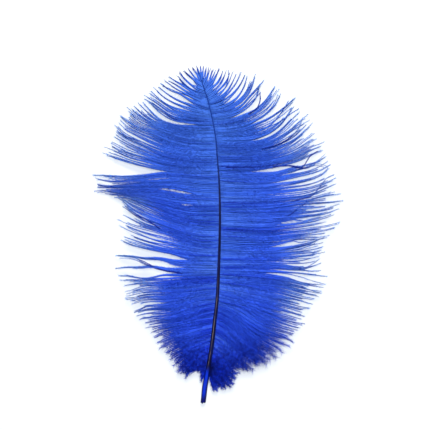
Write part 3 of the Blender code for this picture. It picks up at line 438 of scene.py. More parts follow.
SHAFT_FINE = smooth_line(SHAFT_LINE, 400)


def shaft_x(y):
    """The shaft's x at y."""
    return np.interp(y, SHAFT_FINE[:, 1], SHAFT_FINE[:, 0])


def shaft_height(y):
    """The height of the shaft's centre line at y: level along the quill, then a low arch to the tip."""
    rounded = np.mean([along(SHAFT_HEIGHT, y + shift) for shift in (-6.0, -3.0, 0.0, 3.0, 6.0)], axis=0)
    blend = np.clip((np.asarray(y) - QUILL_LEVEL_BELOW) / 12.0, 0.0, 1.0)
    return (1 - blend) * np.maximum(along(SHAFT_RADIUS, y), 1.4) + blend * rounded


def unit(vectors):
    """The vectors at length 1."""
    return vectors / np.maximum(np.linalg.norm(vectors, axis=-1, keepdims=True), 1e-9)


def piece_from(name, points, faces, material, values, uv):
    """A piece of the feather from whole arrays.

    points are in millimetres, faces are rows of four corners (a triangle repeats its last), values are
    numbers kept on each point by name, and uv is a place on the flat map for each point.
    """
    mesh = bpy.data.meshes.new(name)
    sizes = np.where(faces[:, 2] == faces[:, 3], 3, 4)
    keep = np.ones(faces.shape, bool)
    keep[sizes == 3, 3] = False
    corners = faces[keep]
    mesh.vertices.add(len(points))
    mesh.vertices.foreach_set("co", (points * MM).astype(np.float32).ravel())
    mesh.loops.add(len(corners))
    mesh.loops.foreach_set("vertex_index", corners.astype(np.int32))
    mesh.polygons.add(len(faces))
    mesh.polygons.foreach_set("loop_start", (np.cumsum(sizes) - sizes).astype(np.int32))
    mesh.polygons.foreach_set("use_smooth", np.full(len(faces), True))
    mesh.update(calc_edges=True)
    for key, numbers in values.items():
        layer = mesh.attributes.new(key, "FLOAT", "POINT")
        layer.data.foreach_set("value", numbers.astype(np.float32))
    flat = mesh.uv_layers.new(name="OFBake")
    flat.uv.foreach_set("vector", uv[corners].astype(np.float32).ravel())
    mesh.materials.append(material)
    piece = bpy.data.objects.new(name, mesh)
    bpy.context.scene.collection.objects.link(piece)
    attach(piece, "root")
    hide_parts("feather")
    return piece


# The barbs


def line_paths(lines, hair_beyond, parts_earlier):
    """The lines of one side, in four arrays.

    They are each root's Y, the share of the line where it parts from the next, the places along it, and
    how much of it is grown. Between two lines whose points are near each other stands a line more, which
    is their mean and parts from both.
    """
    root_y, part, paths, reach = [], [], [], []
    for line in lines:
        places = np.array([(float(shaft_x(line[0])), line[0]), *zip(line[2::2], line[3::2])])
        beyond = places[-1] + along(hair_beyond, line[0]) * unit(places[-1] - places[-2])
        path = smooth_line([*places, beyond], LINE_PLACES)
        earlier = along(parts_earlier, line[0])
        distance = np.linalg.norm(path[-1] - paths[-1][-1]) if paths else 0.0
        least = 0.0 if line[0] < TIP_WISPS_FROM else TIP_WISP_BETWEEN_OVER
        if least < distance < WISP_BETWEEN_UNDER and part[-1] > WISP_BETWEEN_FROM_PART * earlier:
            paths.append((path + paths[-1]) / 2)
            root_y.append((line[0] + root_y[-1]) / 2)
            part.append(part[-1] + WISP_PARTS_LATER)
            reach.append(BETWEEN_REACH)
        paths.append(path)
        root_y.append(line[0])
        part.append(line[1] * earlier)
        reach.append(1.0)
    return np.array(root_y), np.array(part), np.array(paths), np.array(reach)


def barb_plans(root_y, part, paths, line_reach, rng):
    """Every barb of one side as seen from above, with what belongs to each.

    A barb starts between two lines and follows their mean, weighed by where it starts. From the share
    of its length where those two lines part, it draws in to the nearer one, to a distance that narrows
    to nothing at the point, so the barbs round a line end in one wisp.
    """
    lines_count = len(root_y)
    lift = rng.uniform(*LINE_LIFT, lines_count) + along(POINT_LIFT, root_y)
    tone = rng.normal(0.0, 1.0, lines_count)
    tone = TONE_FROM_LINE * tone + TONE_FROM_NEXT_LINE * np.roll(tone, 1)
    line_reach = line_reach - (line_reach < 1) * rng.uniform(0.0, 0.1, lines_count)

    root_gap = np.linalg.norm(np.diff(paths[:, 0], axis=0), axis=1)
    point_gap = np.linalg.norm(np.diff(paths[:, -8], axis=0), axis=1)
    gap = SPACING_FROM_ROOTS * root_gap + SPACING_FROM_POINTS * point_gap
    counts = np.maximum(2, np.round(gap / BARB_SPACING).astype(int))
    place = np.concatenate([k + (np.arange(n) + 0.5) / n for k, n in enumerate(counts)])
    place = np.clip(place + rng.normal(0, 0.04, len(place)), 0.0, lines_count - 1.001)
    above = place.astype(int)
    share = place - above
    nearer = np.where(share < 0.5, above, above + 1)
    other = np.where(share < 0.5, above + 1, above)
    off = np.minimum(share, 1 - share)

    v = np.linspace(0, 1, LINE_PLACES)[None, :, None]
    apart = paths[other] - paths[nearer]
    distance = np.linalg.norm(apart, axis=2, keepdims=True)
    slim = np.clip(part[nearer] / SLIMMER_BEFORE, 0.35, 1.0)[:, None, None] ** 1.5
    spread = WISP_HALF_WIDTH * slim * (1 - v) ** 0.8 + 0.05
    drawn = unit(apart) * np.minimum(distance * off[:, None, None], 2 * off[:, None, None] * spread)
    pull = smoothstep((v - part[above][:, None, None]) / WISP_DRAWS_IN_OVER)
    plan = paths[nearer] + apart * off[:, None, None] * (1 - pull) + drawn * pull

    ahead = unit(np.gradient(plan, axis=1))
    across = np.stack([-ahead[..., 1], ahead[..., 0]], axis=2)
    count = len(place)
    v = v[..., 0]
    wave = np.sin(2 * np.pi * (rng.uniform(0.8, 2.2, (count, 1)) * v + rng.uniform(0, 1, (count, 1))))
    stray = rng.normal(0, BARB_STRAYS, (count, 1))
    wild_stray = rng.normal(0, WILD_BARB_STRAYS, (count, 1))
    stray = stray + wild_stray * (rng.random((count, 1)) < WILD_BARBS)
    sideways = BARB_WAVE * wave * v**0.7 + 2 * stray * np.maximum(v - 0.35, 0) ** 2
    plan = plan + across * sideways[..., None]

    shorter = 2 * off * np.abs(rng.normal(0, 0.06, count)) + 0.2 * (2 * off) ** 2 * rng.random(count)
    reach = line_reach[nearer] - shorter
    numbers = np.arange(lines_count)
    return {
        "plan": plan,
        "reach": reach,
        "off": off,
        "part": part[above],
        "root_y": np.interp(place, numbers, root_y),
        "low": np.interp(place, numbers, lift) + rng.normal(0, BARB_LIFT_SPREAD, count),
        "tone": np.interp(place, numbers, tone) + rng.normal(0, TONE_OF_BARB, count),
    }


def under_plans(root_y, part, paths, rng):
    """The wide barbs underneath, as barb_plans gives them, which fill what shows near the shaft.

    "half" is each one's half width along its way: a share of the distance between its two lines, and a
    little more. They end a little beyond the place where the lines part.
    """
    gap = np.linalg.norm(np.diff(paths, axis=0), axis=2)
    plans, halves = [], []
    for n in range(UNDER_PER_GAP):
        share = (n + 0.5) / UNDER_PER_GAP
        plans.append(paths[:-1] * (1 - share) + paths[1:] * share)
        halves.append(gap * UNDER_SHARE_OF_GAP / UNDER_PER_GAP + UNDER_MORE_WIDTH)
    count = len(gap) * UNDER_PER_GAP
    whose = np.tile(np.arange(len(gap)), UNDER_PER_GAP)
    lift = along(POINT_LIFT, root_y[whose]) + UNDER_LIFT
    return {
        "plan": np.concatenate(plans),
        "half": np.concatenate(halves),
        "reach": np.minimum(part[whose] + UNDER_PAST_PARTING, 0.95),
        "off": np.full(count, 0.5),
        "part": part[whose],
        "root_y": root_y[whose],
        "low": lift - UNDER_DROP,
        "tone": rng.normal(0.5, 0.35, count),
    }


def loose_plans(rng):
    """The loose barbs that lie across the others, two for each line, as barb_plans gives them."""
    plans, low = [], []
    for line in LOOSE_LINES:
        path = smooth_line(list(zip(line[0::2], line[1::2])), LINE_PLACES)
        for shift in (-0.3, 0.3):
            plans.append(path + np.linspace(0, 1, LINE_PLACES)[:, None] * shift * rng.uniform(0.5, 2.0, 2))
            low.append(rng.uniform(1.5, 3.5))
    count = len(plans)
    plan = np.array(plans)
    return {
        "plan": plan,
        "reach": np.ones(count),
        "off": np.full(count, 0.2),
        "part": np.full(count, 0.05),
        "root_y": plan[:, 0, 1],
        "low": np.array(low),
        "tone": rng.normal(2.7, 0.2, count),
    }


def from_thin_place(plan, x, y, angle):
    """How far each place is from a thin place's middle, along it and across, and the direction across."""
    turn = math.radians(angle)
    long_way = np.array([math.cos(turn), math.sin(turn)])
    cross_way = np.array([-long_way[1], long_way[0]])
    from_middle = plan - (x, y)
    return from_middle @ long_way, from_middle @ cross_way, cross_way


def in_thin_place(plan):
    """How open and how veiled each place is: 0 outside the thin places, up to 1 in their middles.

    How deep in a thin place it lies is exp(-|a|^3 - b^2), with a and b how far along and across it
    lies, as shares of the half length and of twice the half width. How far the barbs give way shares
    that out between the two.
    """
    opened, veiled = np.zeros(plan.shape[:-1]), np.zeros(plan.shape[:-1])
    for x, y, half_length, half_width, angle, gives_way in THIN_PLACES:
        a, b, _ = from_thin_place(plan, x, y, angle)
        depth = np.exp(-(np.abs(a / half_length) ** 3) - (b / (2 * half_width)) ** 2)
        opened = opened + gives_way * depth
        veiled = veiled + (1 - gives_way) * depth
    return np.clip(opened, 0.0, 1.0), np.clip(veiled, 0.0, 1.0)


def drawn_aside(plan):
    """Moves places out of the thin places, sideways off the long way, most on it and in the middle."""
    for x, y, half_length, half_width, angle, _ in THIN_PLACES:
        a, b, cross_way = from_thin_place(plan, x, y, angle)
        b_share = b / (MOVES_ASIDE_WITHIN * half_width)
        near = np.exp(-(np.abs(a / half_length) ** 3)) * np.exp(-(b_share**2))
        push = np.where(b >= 0, 1.0, -1.0) * MOVES_ASIDE * half_width * near
        plan = plan + push[..., None] * cross_way
    return plan


def barb_lines(plans, rng, kind):
    """The middle line of each barb in space, with its directions along, across and up, at its rings.

    Its height falls from the shaft's side to its point as 1 - v^1.8, rises a little at the middle of a
    wisp, and never comes nearer the surface than LEAST_HEIGHT. A loose barb follows the droop of the
    whole vane instead.
    """
    reach = plans["reach"][:, None]
    count = len(reach)
    v = np.linspace(0, 1, BARB_RINGS)[None, :] ** RINGS_CLOSER_OUT * reach
    steps = LINE_PLACES - 1
    at = np.clip(v * steps, 0, steps - 0.001)
    before = at.astype(int)
    past = (at - before)[..., None]
    rows = np.arange(count)[:, None]
    plan = drawn_aside(plans["plan"])
    flat = plan[rows, before] * (1 - past) + plan[rows, before + 1] * past
    low = plans["low"][:, None]
    if kind == "loose":
        x, y = flat[..., 0], flat[..., 1]
        outwards = np.clip(np.abs(x - shaft_x(y)) / LOOSE_VANE_WIDTH, 0, 1)
        z = np.maximum(shaft_height(y) * (1 - outwards**DROOP_POWER), low) + LOOSE_LIFT
    else:
        root_y = plans["root_y"]
        high = (shaft_height(root_y) + along(LEAVES_AT, root_y))[:, None]
        z = low + (high - low) * (1 - v**DROOP_POWER)
        z = z + WISP_CROWN * (1 - 2 * plans["off"][:, None]) * np.sin(np.pi * v)
        z = z + rng.normal(0, POINT_HEIGHT_SPREAD, (count, 1)) * v
        if kind == "under":
            z = z - UNDER_DROP * smoothstep(v / 0.08)
        else:
            dark = plans["tone"][:, None] > DARK_TONE
            z = z + DARK_BARB_LIFT * dark * smoothstep(v / 0.1) * (1 - v)
    centre = np.concatenate([flat, np.maximum(z, LEAST_HEIGHT)[..., None]], axis=2)
    forward = unit(np.gradient(centre, axis=1))
    across = unit(np.stack([-forward[..., 1], forward[..., 0], np.zeros(forward.shape[:2])], axis=2))
    up = np.cross(forward, across)
    up = up * np.where(up[..., 2:] < 0, -1, 1)
    return centre, forward, across, up, v


def blade_half_width(plans, centre, v, kind, rng):
    """The half width of each barb's blade at its rings.

    It narrows from BARB_HALF_WIDTH, or LOOSE_HALF_WIDTH, as (1 - v)^0.6. A barb underneath has the half
    width that it was given, which narrows as 1 - e^3, with e the share of its own length, and in a thin
    place.
    """
    if kind == "under":
        rows = np.arange(len(v))[:, None]
        steps = LINE_PLACES - 1
        given = plans["half"][rows, np.clip(v * steps, 0, steps).astype(int)]
        e = v / plans["reach"][:, None]
        opened, _ = in_thin_place(centre[..., :2])
        return given * (1 - e**3) * (1 - opened) + LEAST_UNDER_HALF_WIDTH
    widest = LOOSE_HALF_WIDTH if kind == "loose" else BARB_HALF_WIDTH
    root = 0.7 + 0.3 * smoothstep(v / 0.04)
    dark = np.where((plans["tone"][:, None] > DARK_TONE) & (kind != "loose"), DARK_BARB_WIDTH, 1.0)
    own = rng.uniform(*BARB_WIDTHS, (len(v), 1))
    return widest * dark * own * (1 - v) ** BARB_TAPER * root + LEAST_HALF_WIDTH


def barb_stems(centre, across, up, v, half, rng, roll_by):
    """A closed blade along each barb: four-sided rings, wide and flat, rolled a little.

    half is the half width at each ring. The thickness narrows from BARB_HALF_THICKNESS as (1 - v)^0.65.
    """
    count, rings = v.shape
    thick = (BARB_HALF_THICKNESS * (1 - v) ** THICKNESS_TAPER + LEAST_HALF_THICKNESS)[..., None]
    turns = v * BLADE_TURNS + rng.random((count, 1))
    roll = (roll_by * (rng.normal(0, 1, (count, 1)) + 0.9 * np.sin(2 * np.pi * turns)))[..., None]
    wide = (across * np.cos(roll) + up * np.sin(roll)) * half[..., None]
    tall = (up * np.cos(roll) - across * np.sin(roll)) * thick
    ring = np.stack([centre + wide, centre + tall, centre - wide, centre - tall], axis=2)
    first = (np.arange(count)[:, None] * rings + np.arange(rings - 1)[None, :]) * 4
    faces = []
    for corner in range(4):
        following = (corner + 1) % 4
        near, far = first + corner, first + following
        faces.append(np.stack([near, far, far + 4, near + 4], axis=-1).reshape(-1, 4))
    faces.append(np.arange(count)[:, None] * rings * 4 + np.array([[3, 2, 1, 0]]))
    faces.append((np.arange(count)[:, None] * rings + rings - 1) * 4 + np.array([[0, 1, 2, 3]]))
    return ring.reshape(-1, 3), np.concatenate(faces)


def barb_down(centre, forward, across, up, v, plans, rng):
    """The down on the barbs: closed, slender four-faced darts that point outwards and on.

    A dart leaves its barb on either side, at 24 to 58 degrees, up to 14 less towards the barb's point
    and up to 14 more in the fluff at the quill, and rises or falls a little. It is longer from a third
    of the way out on, and shortens to 0.4 of that where the barbs have parted. On a short barb it is
    shorter, and in the fluff longer.
    """
    length = np.linalg.norm(np.diff(centre, axis=1), axis=2).sum(axis=1)
    low = smoothstep((-50 - centre[:, 0, 1]) / 16)
    counts = (length * DOWN_PER_MM * (1 + 0.7 * low)).astype(int)
    barb = np.repeat(np.arange(len(counts)), counts)
    total = len(barb)
    at = np.clip(rng.random(total) ** 0.8 * (BARB_RINGS - 1), 0, BARB_RINGS - 1.001)
    before = at.astype(int)
    past = (at - before)[:, None]

    def at_darts(rings):
        """A value of the barbs' rings at each dart's root."""
        return rings[barb, before] * (1 - past) + rings[barb, before + 1] * past

    root, ahead, out, rise = at_darts(centre), at_darts(forward), at_darts(across), at_darts(up)
    w = at_darts(v[..., None])[:, 0]
    side = np.where(rng.random(total) < 0.5, -1.0, 1.0)[:, None]
    fluff = smoothstep((-48 - root[:, 1]) / 22)
    angle = rng.uniform(*DOWN_ANGLES, total) + DOWN_ANGLE_CHANGE * fluff - DOWN_ANGLE_CHANGE * w
    angle = np.radians(angle)[:, None]
    tilt = (rng.normal(0.05, 0.42, total) + 0.1 * fluff)[:, None]
    sideways = out * side * np.cos(tilt) + rise * np.sin(tilt)
    toward = ahead * np.cos(angle) + sideways * np.sin(angle)
    parted = smoothstep((w - plans["part"][barb] + 0.1) / 0.32)
    reach = (DOWN_LENGTH + DOWN_LENGTH_MORE * smoothstep(w / 0.3)) * (1 - DOWN_LOST_BEYOND * parted)
    reach = reach * rng.uniform(0.6, 1.25, total)
    reach = (reach * np.clip(length[barb] / LONG_BARB, 0.3, 1.0) * (1 + 1.3 * fluff))[:, None]
    point = root + toward * reach
    point[:, 2] = np.maximum(point[:, 2], 0.04)
    flat_way = unit(np.cross(toward, rise))
    thin_way = np.cross(flat_way, toward)
    wide = flat_way * DOWN_HALF_WIDTH * (1.0 - 0.45 * w[:, None])
    thin = thin_way * DOWN_HALF_THICKNESS
    dart = np.stack([root + wide - thin, root - wide - thin, root + thin * 1.5, point], axis=1)
    dart[..., 2] = np.maximum(dart[..., 2], 0.02)
    first = np.arange(total)[:, None] * 4
    corners = np.array([[0, 1, 2, 2], [0, 3, 1, 1], [1, 3, 2, 2], [2, 3, 0, 0]])
    faces = (first[:, None, :] + corners[None]).reshape(-1, 4)
    return dart.reshape(-1, 3), faces, barb, w


def make_barbs(name, plans, material, rng, kind="outer"):
    """One piece of the vane: the blades of its barbs and the down on them.

    The barbs underneath have no down: their blades are coloured as down is. Each point keeps how far
    out along its barb it is, the barb's tone, whether it is down, how veiled it is, and how much it is
    among the gathered strands, which is exp(-a^4 - b^4) with a and b its distances from their middle as
    shares of their half length and width.
    """
    centre, forward, across, up, v = barb_lines(plans, rng, kind)
    half = blade_half_width(plans, centre, v, kind, rng)
    roll_by = UNDER_ROLL if kind == "under" else BLADE_ROLL
    points, faces = barb_stems(centre, across, up, v, half, rng, roll_by)
    count = len(v)
    along_barb = np.repeat(v.reshape(-1), 4)
    map_along = along_barb
    whose = np.repeat(np.arange(count), BARB_RINGS * 4)
    across_map = np.tile([0.1, 0.5, 0.9, 0.5], count * BARB_RINGS)
    on_down = np.zeros(len(points))
    if kind == "under":
        on_down = np.ones(len(points))
        along_barb = np.repeat((v / plans["reach"][:, None]).reshape(-1) ** 2.5, 4)
    else:
        down_points, down_faces, barb, w = barb_down(centre, forward, across, up, v, plans, rng)
        faces = np.concatenate([faces, down_faces + len(points)])
        points = np.concatenate([points, down_points])
        along_barb = np.concatenate([along_barb, np.repeat(w, 4)])
        whose = np.concatenate([whose, np.repeat(barb, 4)])
        across_map = np.concatenate([across_map, np.tile([0.3, 0.7, 0.5, 0.5], len(w))])
        on_down = np.concatenate([on_down, np.ones(4 * len(w))])
        at_point = np.tile([0, 0, 0, 1], len(along_barb) // 4)
        map_along = np.clip(along_barb + 0.01 * on_down * at_point, 0, 1)
    uv = np.stack([map_along, (whose + across_map) / count], axis=1)
    x, y, half_length, half_width = GATHERED_AT
    a, b = (points[:, 0] - x) / half_length, (points[:, 1] - y) / half_width
    values = {
        "along_barb": along_barb,
        "barb_tone": plans["tone"][whose],
        "down": on_down,
        "veiled": in_thin_place(points[:, :2])[1] * (kind == "under"),
        "gathered": np.exp(-(a**4) - b**4),
    }
    return piece_from(name, points, faces, material, values, uv)


def cut_in_three(plans):
    """The barbs in three runs of about equal length, from the feather's tip to its quill."""
    length = np.linalg.norm(np.diff(plans["plan"], axis=1), axis=2).sum(axis=1)
    third = np.clip((3 * np.cumsum(length) / length.sum()).astype(int), 0, 2)
    return [{key: value[third == n] for key, value in plans.items()} for n in range(3)]


# The shaft


def make_shaft(material):
    """The shaft: rings round its centre line, a groove along the top, and a ragged, hollow cut end.

    A ring's radius is SHAFT_RADIUS, less up to 0.34 of it in a soft trough along the top left, which
    begins at y = -76 and has run out at y = 40. Beyond the trough's ends the ring is a little wavy. At
    the cut end the rings turn inwards and run back up the inside.
    """
    sides, cut_y, tip_y = 40, -90.2, 90.2
    y = np.concatenate([np.linspace(cut_y, -84, 26), np.linspace(-83.6, tip_y, 250)])
    turn = np.linspace(0, 2 * np.pi, sides, endpoint=False)[None, :]
    radius = along(SHAFT_RADIUS, y)[:, None]
    inside = (smoothstep((y + 76) / 8) * (1 - smoothstep((y - 5) / 35)))[:, None]
    trough = np.exp(-(((turn - TROUGH_TURN) / TROUGH_HALF_TURN) ** 2))
    wave = 0.02 * np.sin(3 * turn + y[:, None] * 0.4) + 0.015 * np.sin(5 * turn - y[:, None] * 0.9)
    profile = radius * (1 - TROUGH_DEPTH * inside * trough + wave * (1 - inside))

    # The jagged cut: each side of the tube, and of the hollow in it, starts at its own place.
    jag = 0.5 * np.sin(2 * turn + 0.6) + 0.35 * np.sin(5 * turn + 2.0) + 0.2 * np.sin(9 * turn)
    hollow_y = np.linspace(-84.5, cut_y, HOLLOW_RINGS)
    both_y = np.concatenate([hollow_y, y])[:, None]
    place_y = both_y + (0.9 + jag) * (1 - smoothstep((both_y - cut_y) / 5)) * 0.55
    opening = smoothstep((hollow_y + 84.2) / -2.2)[:, None]
    hollow_radius = along(SHAFT_RADIUS, hollow_y)[:, None] * HOLLOW_SHARE * opening
    profile = np.vstack([np.maximum(hollow_radius, 0.05) * np.ones_like(turn), profile])
    x = shaft_x(place_y) + profile * np.cos(turn)
    z = np.maximum(shaft_height(place_y) + profile * np.sin(turn), 0.02)
    points = np.stack([x, place_y, z], axis=2).reshape(-1, 3)

    rings = len(place_y)
    ring_start = np.arange(rings - 1)[:, None] * sides
    ring = np.arange(sides)
    beyond = (ring + 1) % sides
    first, after = (ring_start + ring).reshape(-1), (ring_start + beyond).reshape(-1)
    faces = np.stack([first, first + sides, after + sides, after], axis=1)
    # The bottom of the hollow and the tip are closed by fans round a middle point.
    bottom, tip = len(points), len(points) + 1
    points = np.vstack([points, points[:sides].mean(axis=0), points[-sides:].mean(axis=0)])
    last = (rings - 1) * sides
    fans = [
        np.stack([np.full(sides, bottom), ring, beyond, beyond], axis=1),
        np.stack([np.full(sides, tip), last + beyond, last + ring, last + ring], axis=1),
    ]
    faces = np.concatenate([faces, *fans])
    round_way = np.concatenate([np.tile(turn[0] / (2 * np.pi), rings), [0.5, 0.5]])
    long_way = np.concatenate([np.repeat(np.linspace(0, 1, rings), sides), [0, 1]])
    in_hollow = np.repeat((np.arange(rings) < HOLLOW_RINGS - 1).astype(float), sides)
    values = {"round_shaft": round_way, "hollow": np.concatenate([in_hollow, [1, 0]])}
    uv = np.stack([round_way, long_way], axis=1)
    return piece_from("shaft", points, faces, material, values, uv)


# The colours


def node_in(tree, kind, links=None, **settings):
    """A node in the tree with these settings, its inputs set to numbers or joined to the given outputs."""
    node = tree.nodes.new(kind)
    for key, value in settings.items():
        setattr(node, key, value)
    for key, value in (links or {}).items():
        if isinstance(value, bpy.types.NodeSocket):
            tree.links.new(value, node.inputs[key])
        else:
            node.inputs[key].default_value = value
    return node


def remap(tree, value, low, high, to_low=0.0, to_high=1.0):
    """value moved from low..high to to_low..to_high with soft ends."""
    links = {"Value": value, "From Min": low, "From Max": high, "To Min": to_low, "To Max": to_high}
    return node_in(tree, "ShaderNodeMapRange", links, interpolation_type="SMOOTHSTEP").outputs["Result"]


def combine(tree, operation, first, second):
    """Two numbers put together by an operation of the Math node."""
    return node_in(tree, "ShaderNodeMath", {0: first, 1: second}, operation=operation).outputs[0]


def noise(tree, place, scale, detail):
    """Soft noise at the place, about 0.5 on average."""
    links = {"Vector": place, "Scale": scale, "Detail": detail}
    return node_in(tree, "ShaderNodeTexNoise", links).outputs["Fac"]


def kept_value(tree, name):
    """A value that the mesh keeps on its points."""
    return node_in(tree, "ShaderNodeAttribute", attribute_name=name).outputs["Fac"]


def blend_colours(tree, amount, first, second):
    """first where amount is 0 and second where it is 1."""
    first, second = ((*colour, 1.0) if isinstance(colour, tuple) else colour for colour in (first, second))
    return node_in(tree, "ShaderNodeMix", {0: amount, 6: first, 7: second}, data_type="RGBA").outputs[2]


def new_material(name):
    """A material, its node tree and its shader."""
    material = bpy.data.materials.new(name)
    material.use_nodes = True
    return material, material.node_tree, material.node_tree.nodes["Principled BSDF"]


def dye_bath():
    """The dye's colour by place: lighter at the top, deeper and more violet at the quill, softly cloudy."""
    group = bpy.data.node_groups.new("dye_bath", "ShaderNodeTree")
    group.interface.new_socket("Position", in_out="INPUT", socket_type="NodeSocketVector")
    group.interface.new_socket("Colour", in_out="OUTPUT", socket_type="NodeSocketColor")
    place = node_in(group, "NodeGroupInput").outputs["Position"]
    y = node_in(group, "ShaderNodeSeparateXYZ", {"Vector": place}).outputs["Y"]
    clouds = noise(group, place, 30.0, 2.0)
    colour = blend_colours(group, remap(group, y, 0.0, -0.078), (0.031, 0.104, 0.57), (0.006, 0.034, 0.62))
    colour = blend_colours(group, remap(group, clouds, 0.35, 0.65, 0.0, 0.35), colour, (0.020, 0.080, 0.58))
    node_in(group, "NodeGroupOutput", {"Colour": colour})
    return group


def dyed_barbs(bath):
    """The barbs and their down, soft and nearly matt: layers of colour over the dye, the last on top, some
    of them painted light and shade.
    """
    material, tree, shader = new_material("dyed_barbs")
    place = node_in(tree, "ShaderNodeTexCoord").outputs["Object"]
    y = node_in(tree, "ShaderNodeSeparateXYZ", {"Vector": place}).outputs["Y"]
    out_along = kept_value(tree, "along_barb")
    tone = kept_value(tree, "barb_tone")
    on_down = kept_value(tree, "down")

    further_out = remap(tree, out_along, 0.42, 0.92)
    blade_out = combine(tree, "SUBTRACT", further_out, on_down)
    blade_end = combine(tree, "SUBTRACT", remap(tree, out_along, 0.82, 1.0), on_down)
    down_out = combine(tree, "MULTIPLY", further_out, on_down)
    down_out = combine(tree, "MULTIPLY", down_out, remap(tree, y, -0.06, -0.02, 0.15, 1.0))
    less_pale = remap(tree, kept_value(tree, "gathered"), 0.1, 0.9, 1.0, 0.3)
    down_out = combine(tree, "MULTIPLY", down_out, less_pale)
    clumps = remap(tree, noise(tree, place, 620.0, 1.0), 0.42, 0.62, 0.0, 0.7)
    clumped = combine(tree, "MULTIPLY", remap(tree, y, -0.045, -0.07), clumps)
    # Painted shadow: near-black on the barbs' roots beside the quill, where the vane leaves it.
    shade_at_root = remap(tree, out_along, 0.42, 0.1, 0.0, 0.95)
    painted_shade_by_quill = combine(tree, "MULTIPLY", remap(tree, y, -0.064, -0.073), shade_at_root)

    layers = [
        # Darker barbs and lighter ones.
        (remap(tree, tone, 0.4, 1.3, 0.0, 0.75), (0.003, 0.020, 0.42)),
        (remap(tree, tone, -0.1, -1.6, 0.0, 0.5), (0.075, 0.185, 0.68)),
        # Painted light: brighter further out, making up for the shade of the drooping, self-shadowed vane;
        # and paler beside the shaft.
        (remap(tree, out_along, 0.06, 0.4, 0.0, 0.45), (0.036, 0.125, 0.92)),
        (remap(tree, out_along, 0.05, 0.0, 0.0, 0.15), (0.09, 0.18, 0.70)),
        # Greyer at the feather's tip and deeper at its quill.
        (remap(tree, y, 0.0, 0.075, 0.0, 0.6), (0.036, 0.122, 0.46)),
        (remap(tree, y, -0.052, -0.074, 0.0, 0.75), (0.001, 0.020, 0.62)),
        # The loose barbs are the darkest.
        (remap(tree, tone, 1.8, 2.7, 0.0, 0.85), (0.003, 0.010, 0.20)),
        # The blades' dark outer parts and darker ends, with pale down between them.
        (remap(tree, blade_out, 0.0, 1.0, 0.0, 0.9), (0.005, 0.016, 0.23)),
        (remap(tree, blade_end, 0.0, 1.0, 0.0, 0.85), (0.008, 0.010, 0.06)),
        (remap(tree, down_out, 0.0, 0.8, 0.0, 0.85), (0.20, 0.43, 0.98)),
        # The fluff's dark clumps, and painted shadow on the barbs' roots beside the quill.
        (clumped, (0.004, 0.010, 0.28)),
        (painted_shade_by_quill, (0.001, 0.003, 0.05)),
        # Painted shade: the veil in the thin places is grey-blue, as the shaded surface seen through it.
        (remap(tree, kept_value(tree, "veiled"), 0.1, 0.8, 0.0, 0.9), (0.12, 0.20, 0.44)),
    ]
    colour = node_in(tree, "ShaderNodeGroup", {"Position": place}, node_tree=bath).outputs["Colour"]
    for amount, layer_colour in layers:
        colour = blend_colours(tree, amount, colour, layer_colour)
    tree.links.new(colour, shader.inputs["Base Color"])
    shader.inputs["Roughness"].default_value = 0.6
    shader.inputs["Specular IOR Level"].default_value = 0.08
    return material


def dyed_and_shaded_shaft():
    """The shaft: royal quill, then near-black navy, pale pith in the groove, and painted shade on the quill.
    """
    material, tree, shader = new_material("dyed_and_shaded_shaft")
    place = node_in(tree, "ShaderNodeTexCoord").outputs["Object"]
    y = node_in(tree, "ShaderNodeSeparateXYZ", {"Vector": place}).outputs["Y"]
    turn = kept_value(tree, "round_shaft")
    stretched = node_in(tree, "ShaderNodeMapping", {"Vector": place, "Scale": (900.0, 90.0, 900.0)})
    streak = noise(tree, stretched.outputs["Vector"], 1.0, 3.0)

    navy = blend_colours(tree, remap(tree, streak, 0.35, 0.7), (0.0012, 0.0014, 0.018), (0.003, 0.006, 0.07))
    navy = blend_colours(tree, remap(tree, y, 0.01, 0.07), navy, (0.001, 0.024, 0.21))
    royal = blend_colours(tree, remap(tree, streak, 0.4, 0.75), (0.002, 0.026, 0.50), (0.001, 0.010, 0.22))
    # Painted shade: the quill is dark at its right and left edges, where its round sides turn from the
    # light, and dark at the cut.
    royal = blend_colours(tree, remap(tree, turn, 0.20, 0.13, 0.0, 0.95), royal, (0.0006, 0.002, 0.06))
    royal = blend_colours(tree, remap(tree, turn, 0.33, 0.39, 0.0, 0.9), royal, (0.0006, 0.002, 0.08))
    royal = blend_colours(tree, remap(tree, y, -0.0835, -0.0885, 0.0, 0.9), royal, (0.002, 0.002, 0.06))
    colour = blend_colours(tree, remap(tree, y, -0.0745, -0.0695), royal, navy)
    # The pith shows in a band along the top left, which ends softly at both sides and both ends.
    band = combine(tree, "MULTIPLY", remap(tree, turn, 0.245, 0.268), remap(tree, turn, 0.32, 0.298))
    ends = combine(tree, "MULTIPLY", remap(tree, y, -0.073, -0.067), remap(tree, y, -0.018, -0.034))
    pith = blend_colours(tree, remap(tree, streak, 0.35, 0.7), (0.15, 0.12, 0.13), (0.02, 0.02, 0.04))
    colour = blend_colours(tree, combine(tree, "MULTIPLY", band, ends), colour, pith)
    # Painted shade: the inside of the hollow at the cut end is near black.
    colour = blend_colours(tree, kept_value(tree, "hollow"), colour, (0.001, 0.001, 0.012))
    tree.links.new(colour, shader.inputs["Base Color"])
    tree.links.new(remap(tree, streak, 0.3, 0.7, 0.34, 0.5), shader.inputs["Roughness"])
    shader.inputs["Specular IOR Level"].default_value = 0.1
    return material


def pale_surface():
    """The plain, pale surface that the feather lies on, which gives off light as well."""
    material, _, shader = new_material("pale_surface")
    shader.inputs["Base Color"].default_value = (0.31, 0.31, 0.32, 1.0)
    shader.inputs["Roughness"].default_value = 0.9
    shader.inputs["Specular IOR Level"].default_value = 0.1
    shader.inputs["Emission Color"].default_value = (0.83, 0.91, 1.0, 1.0)
    shader.inputs["Emission Strength"].default_value = 0.66
    return material


# The surface, the light and the camera


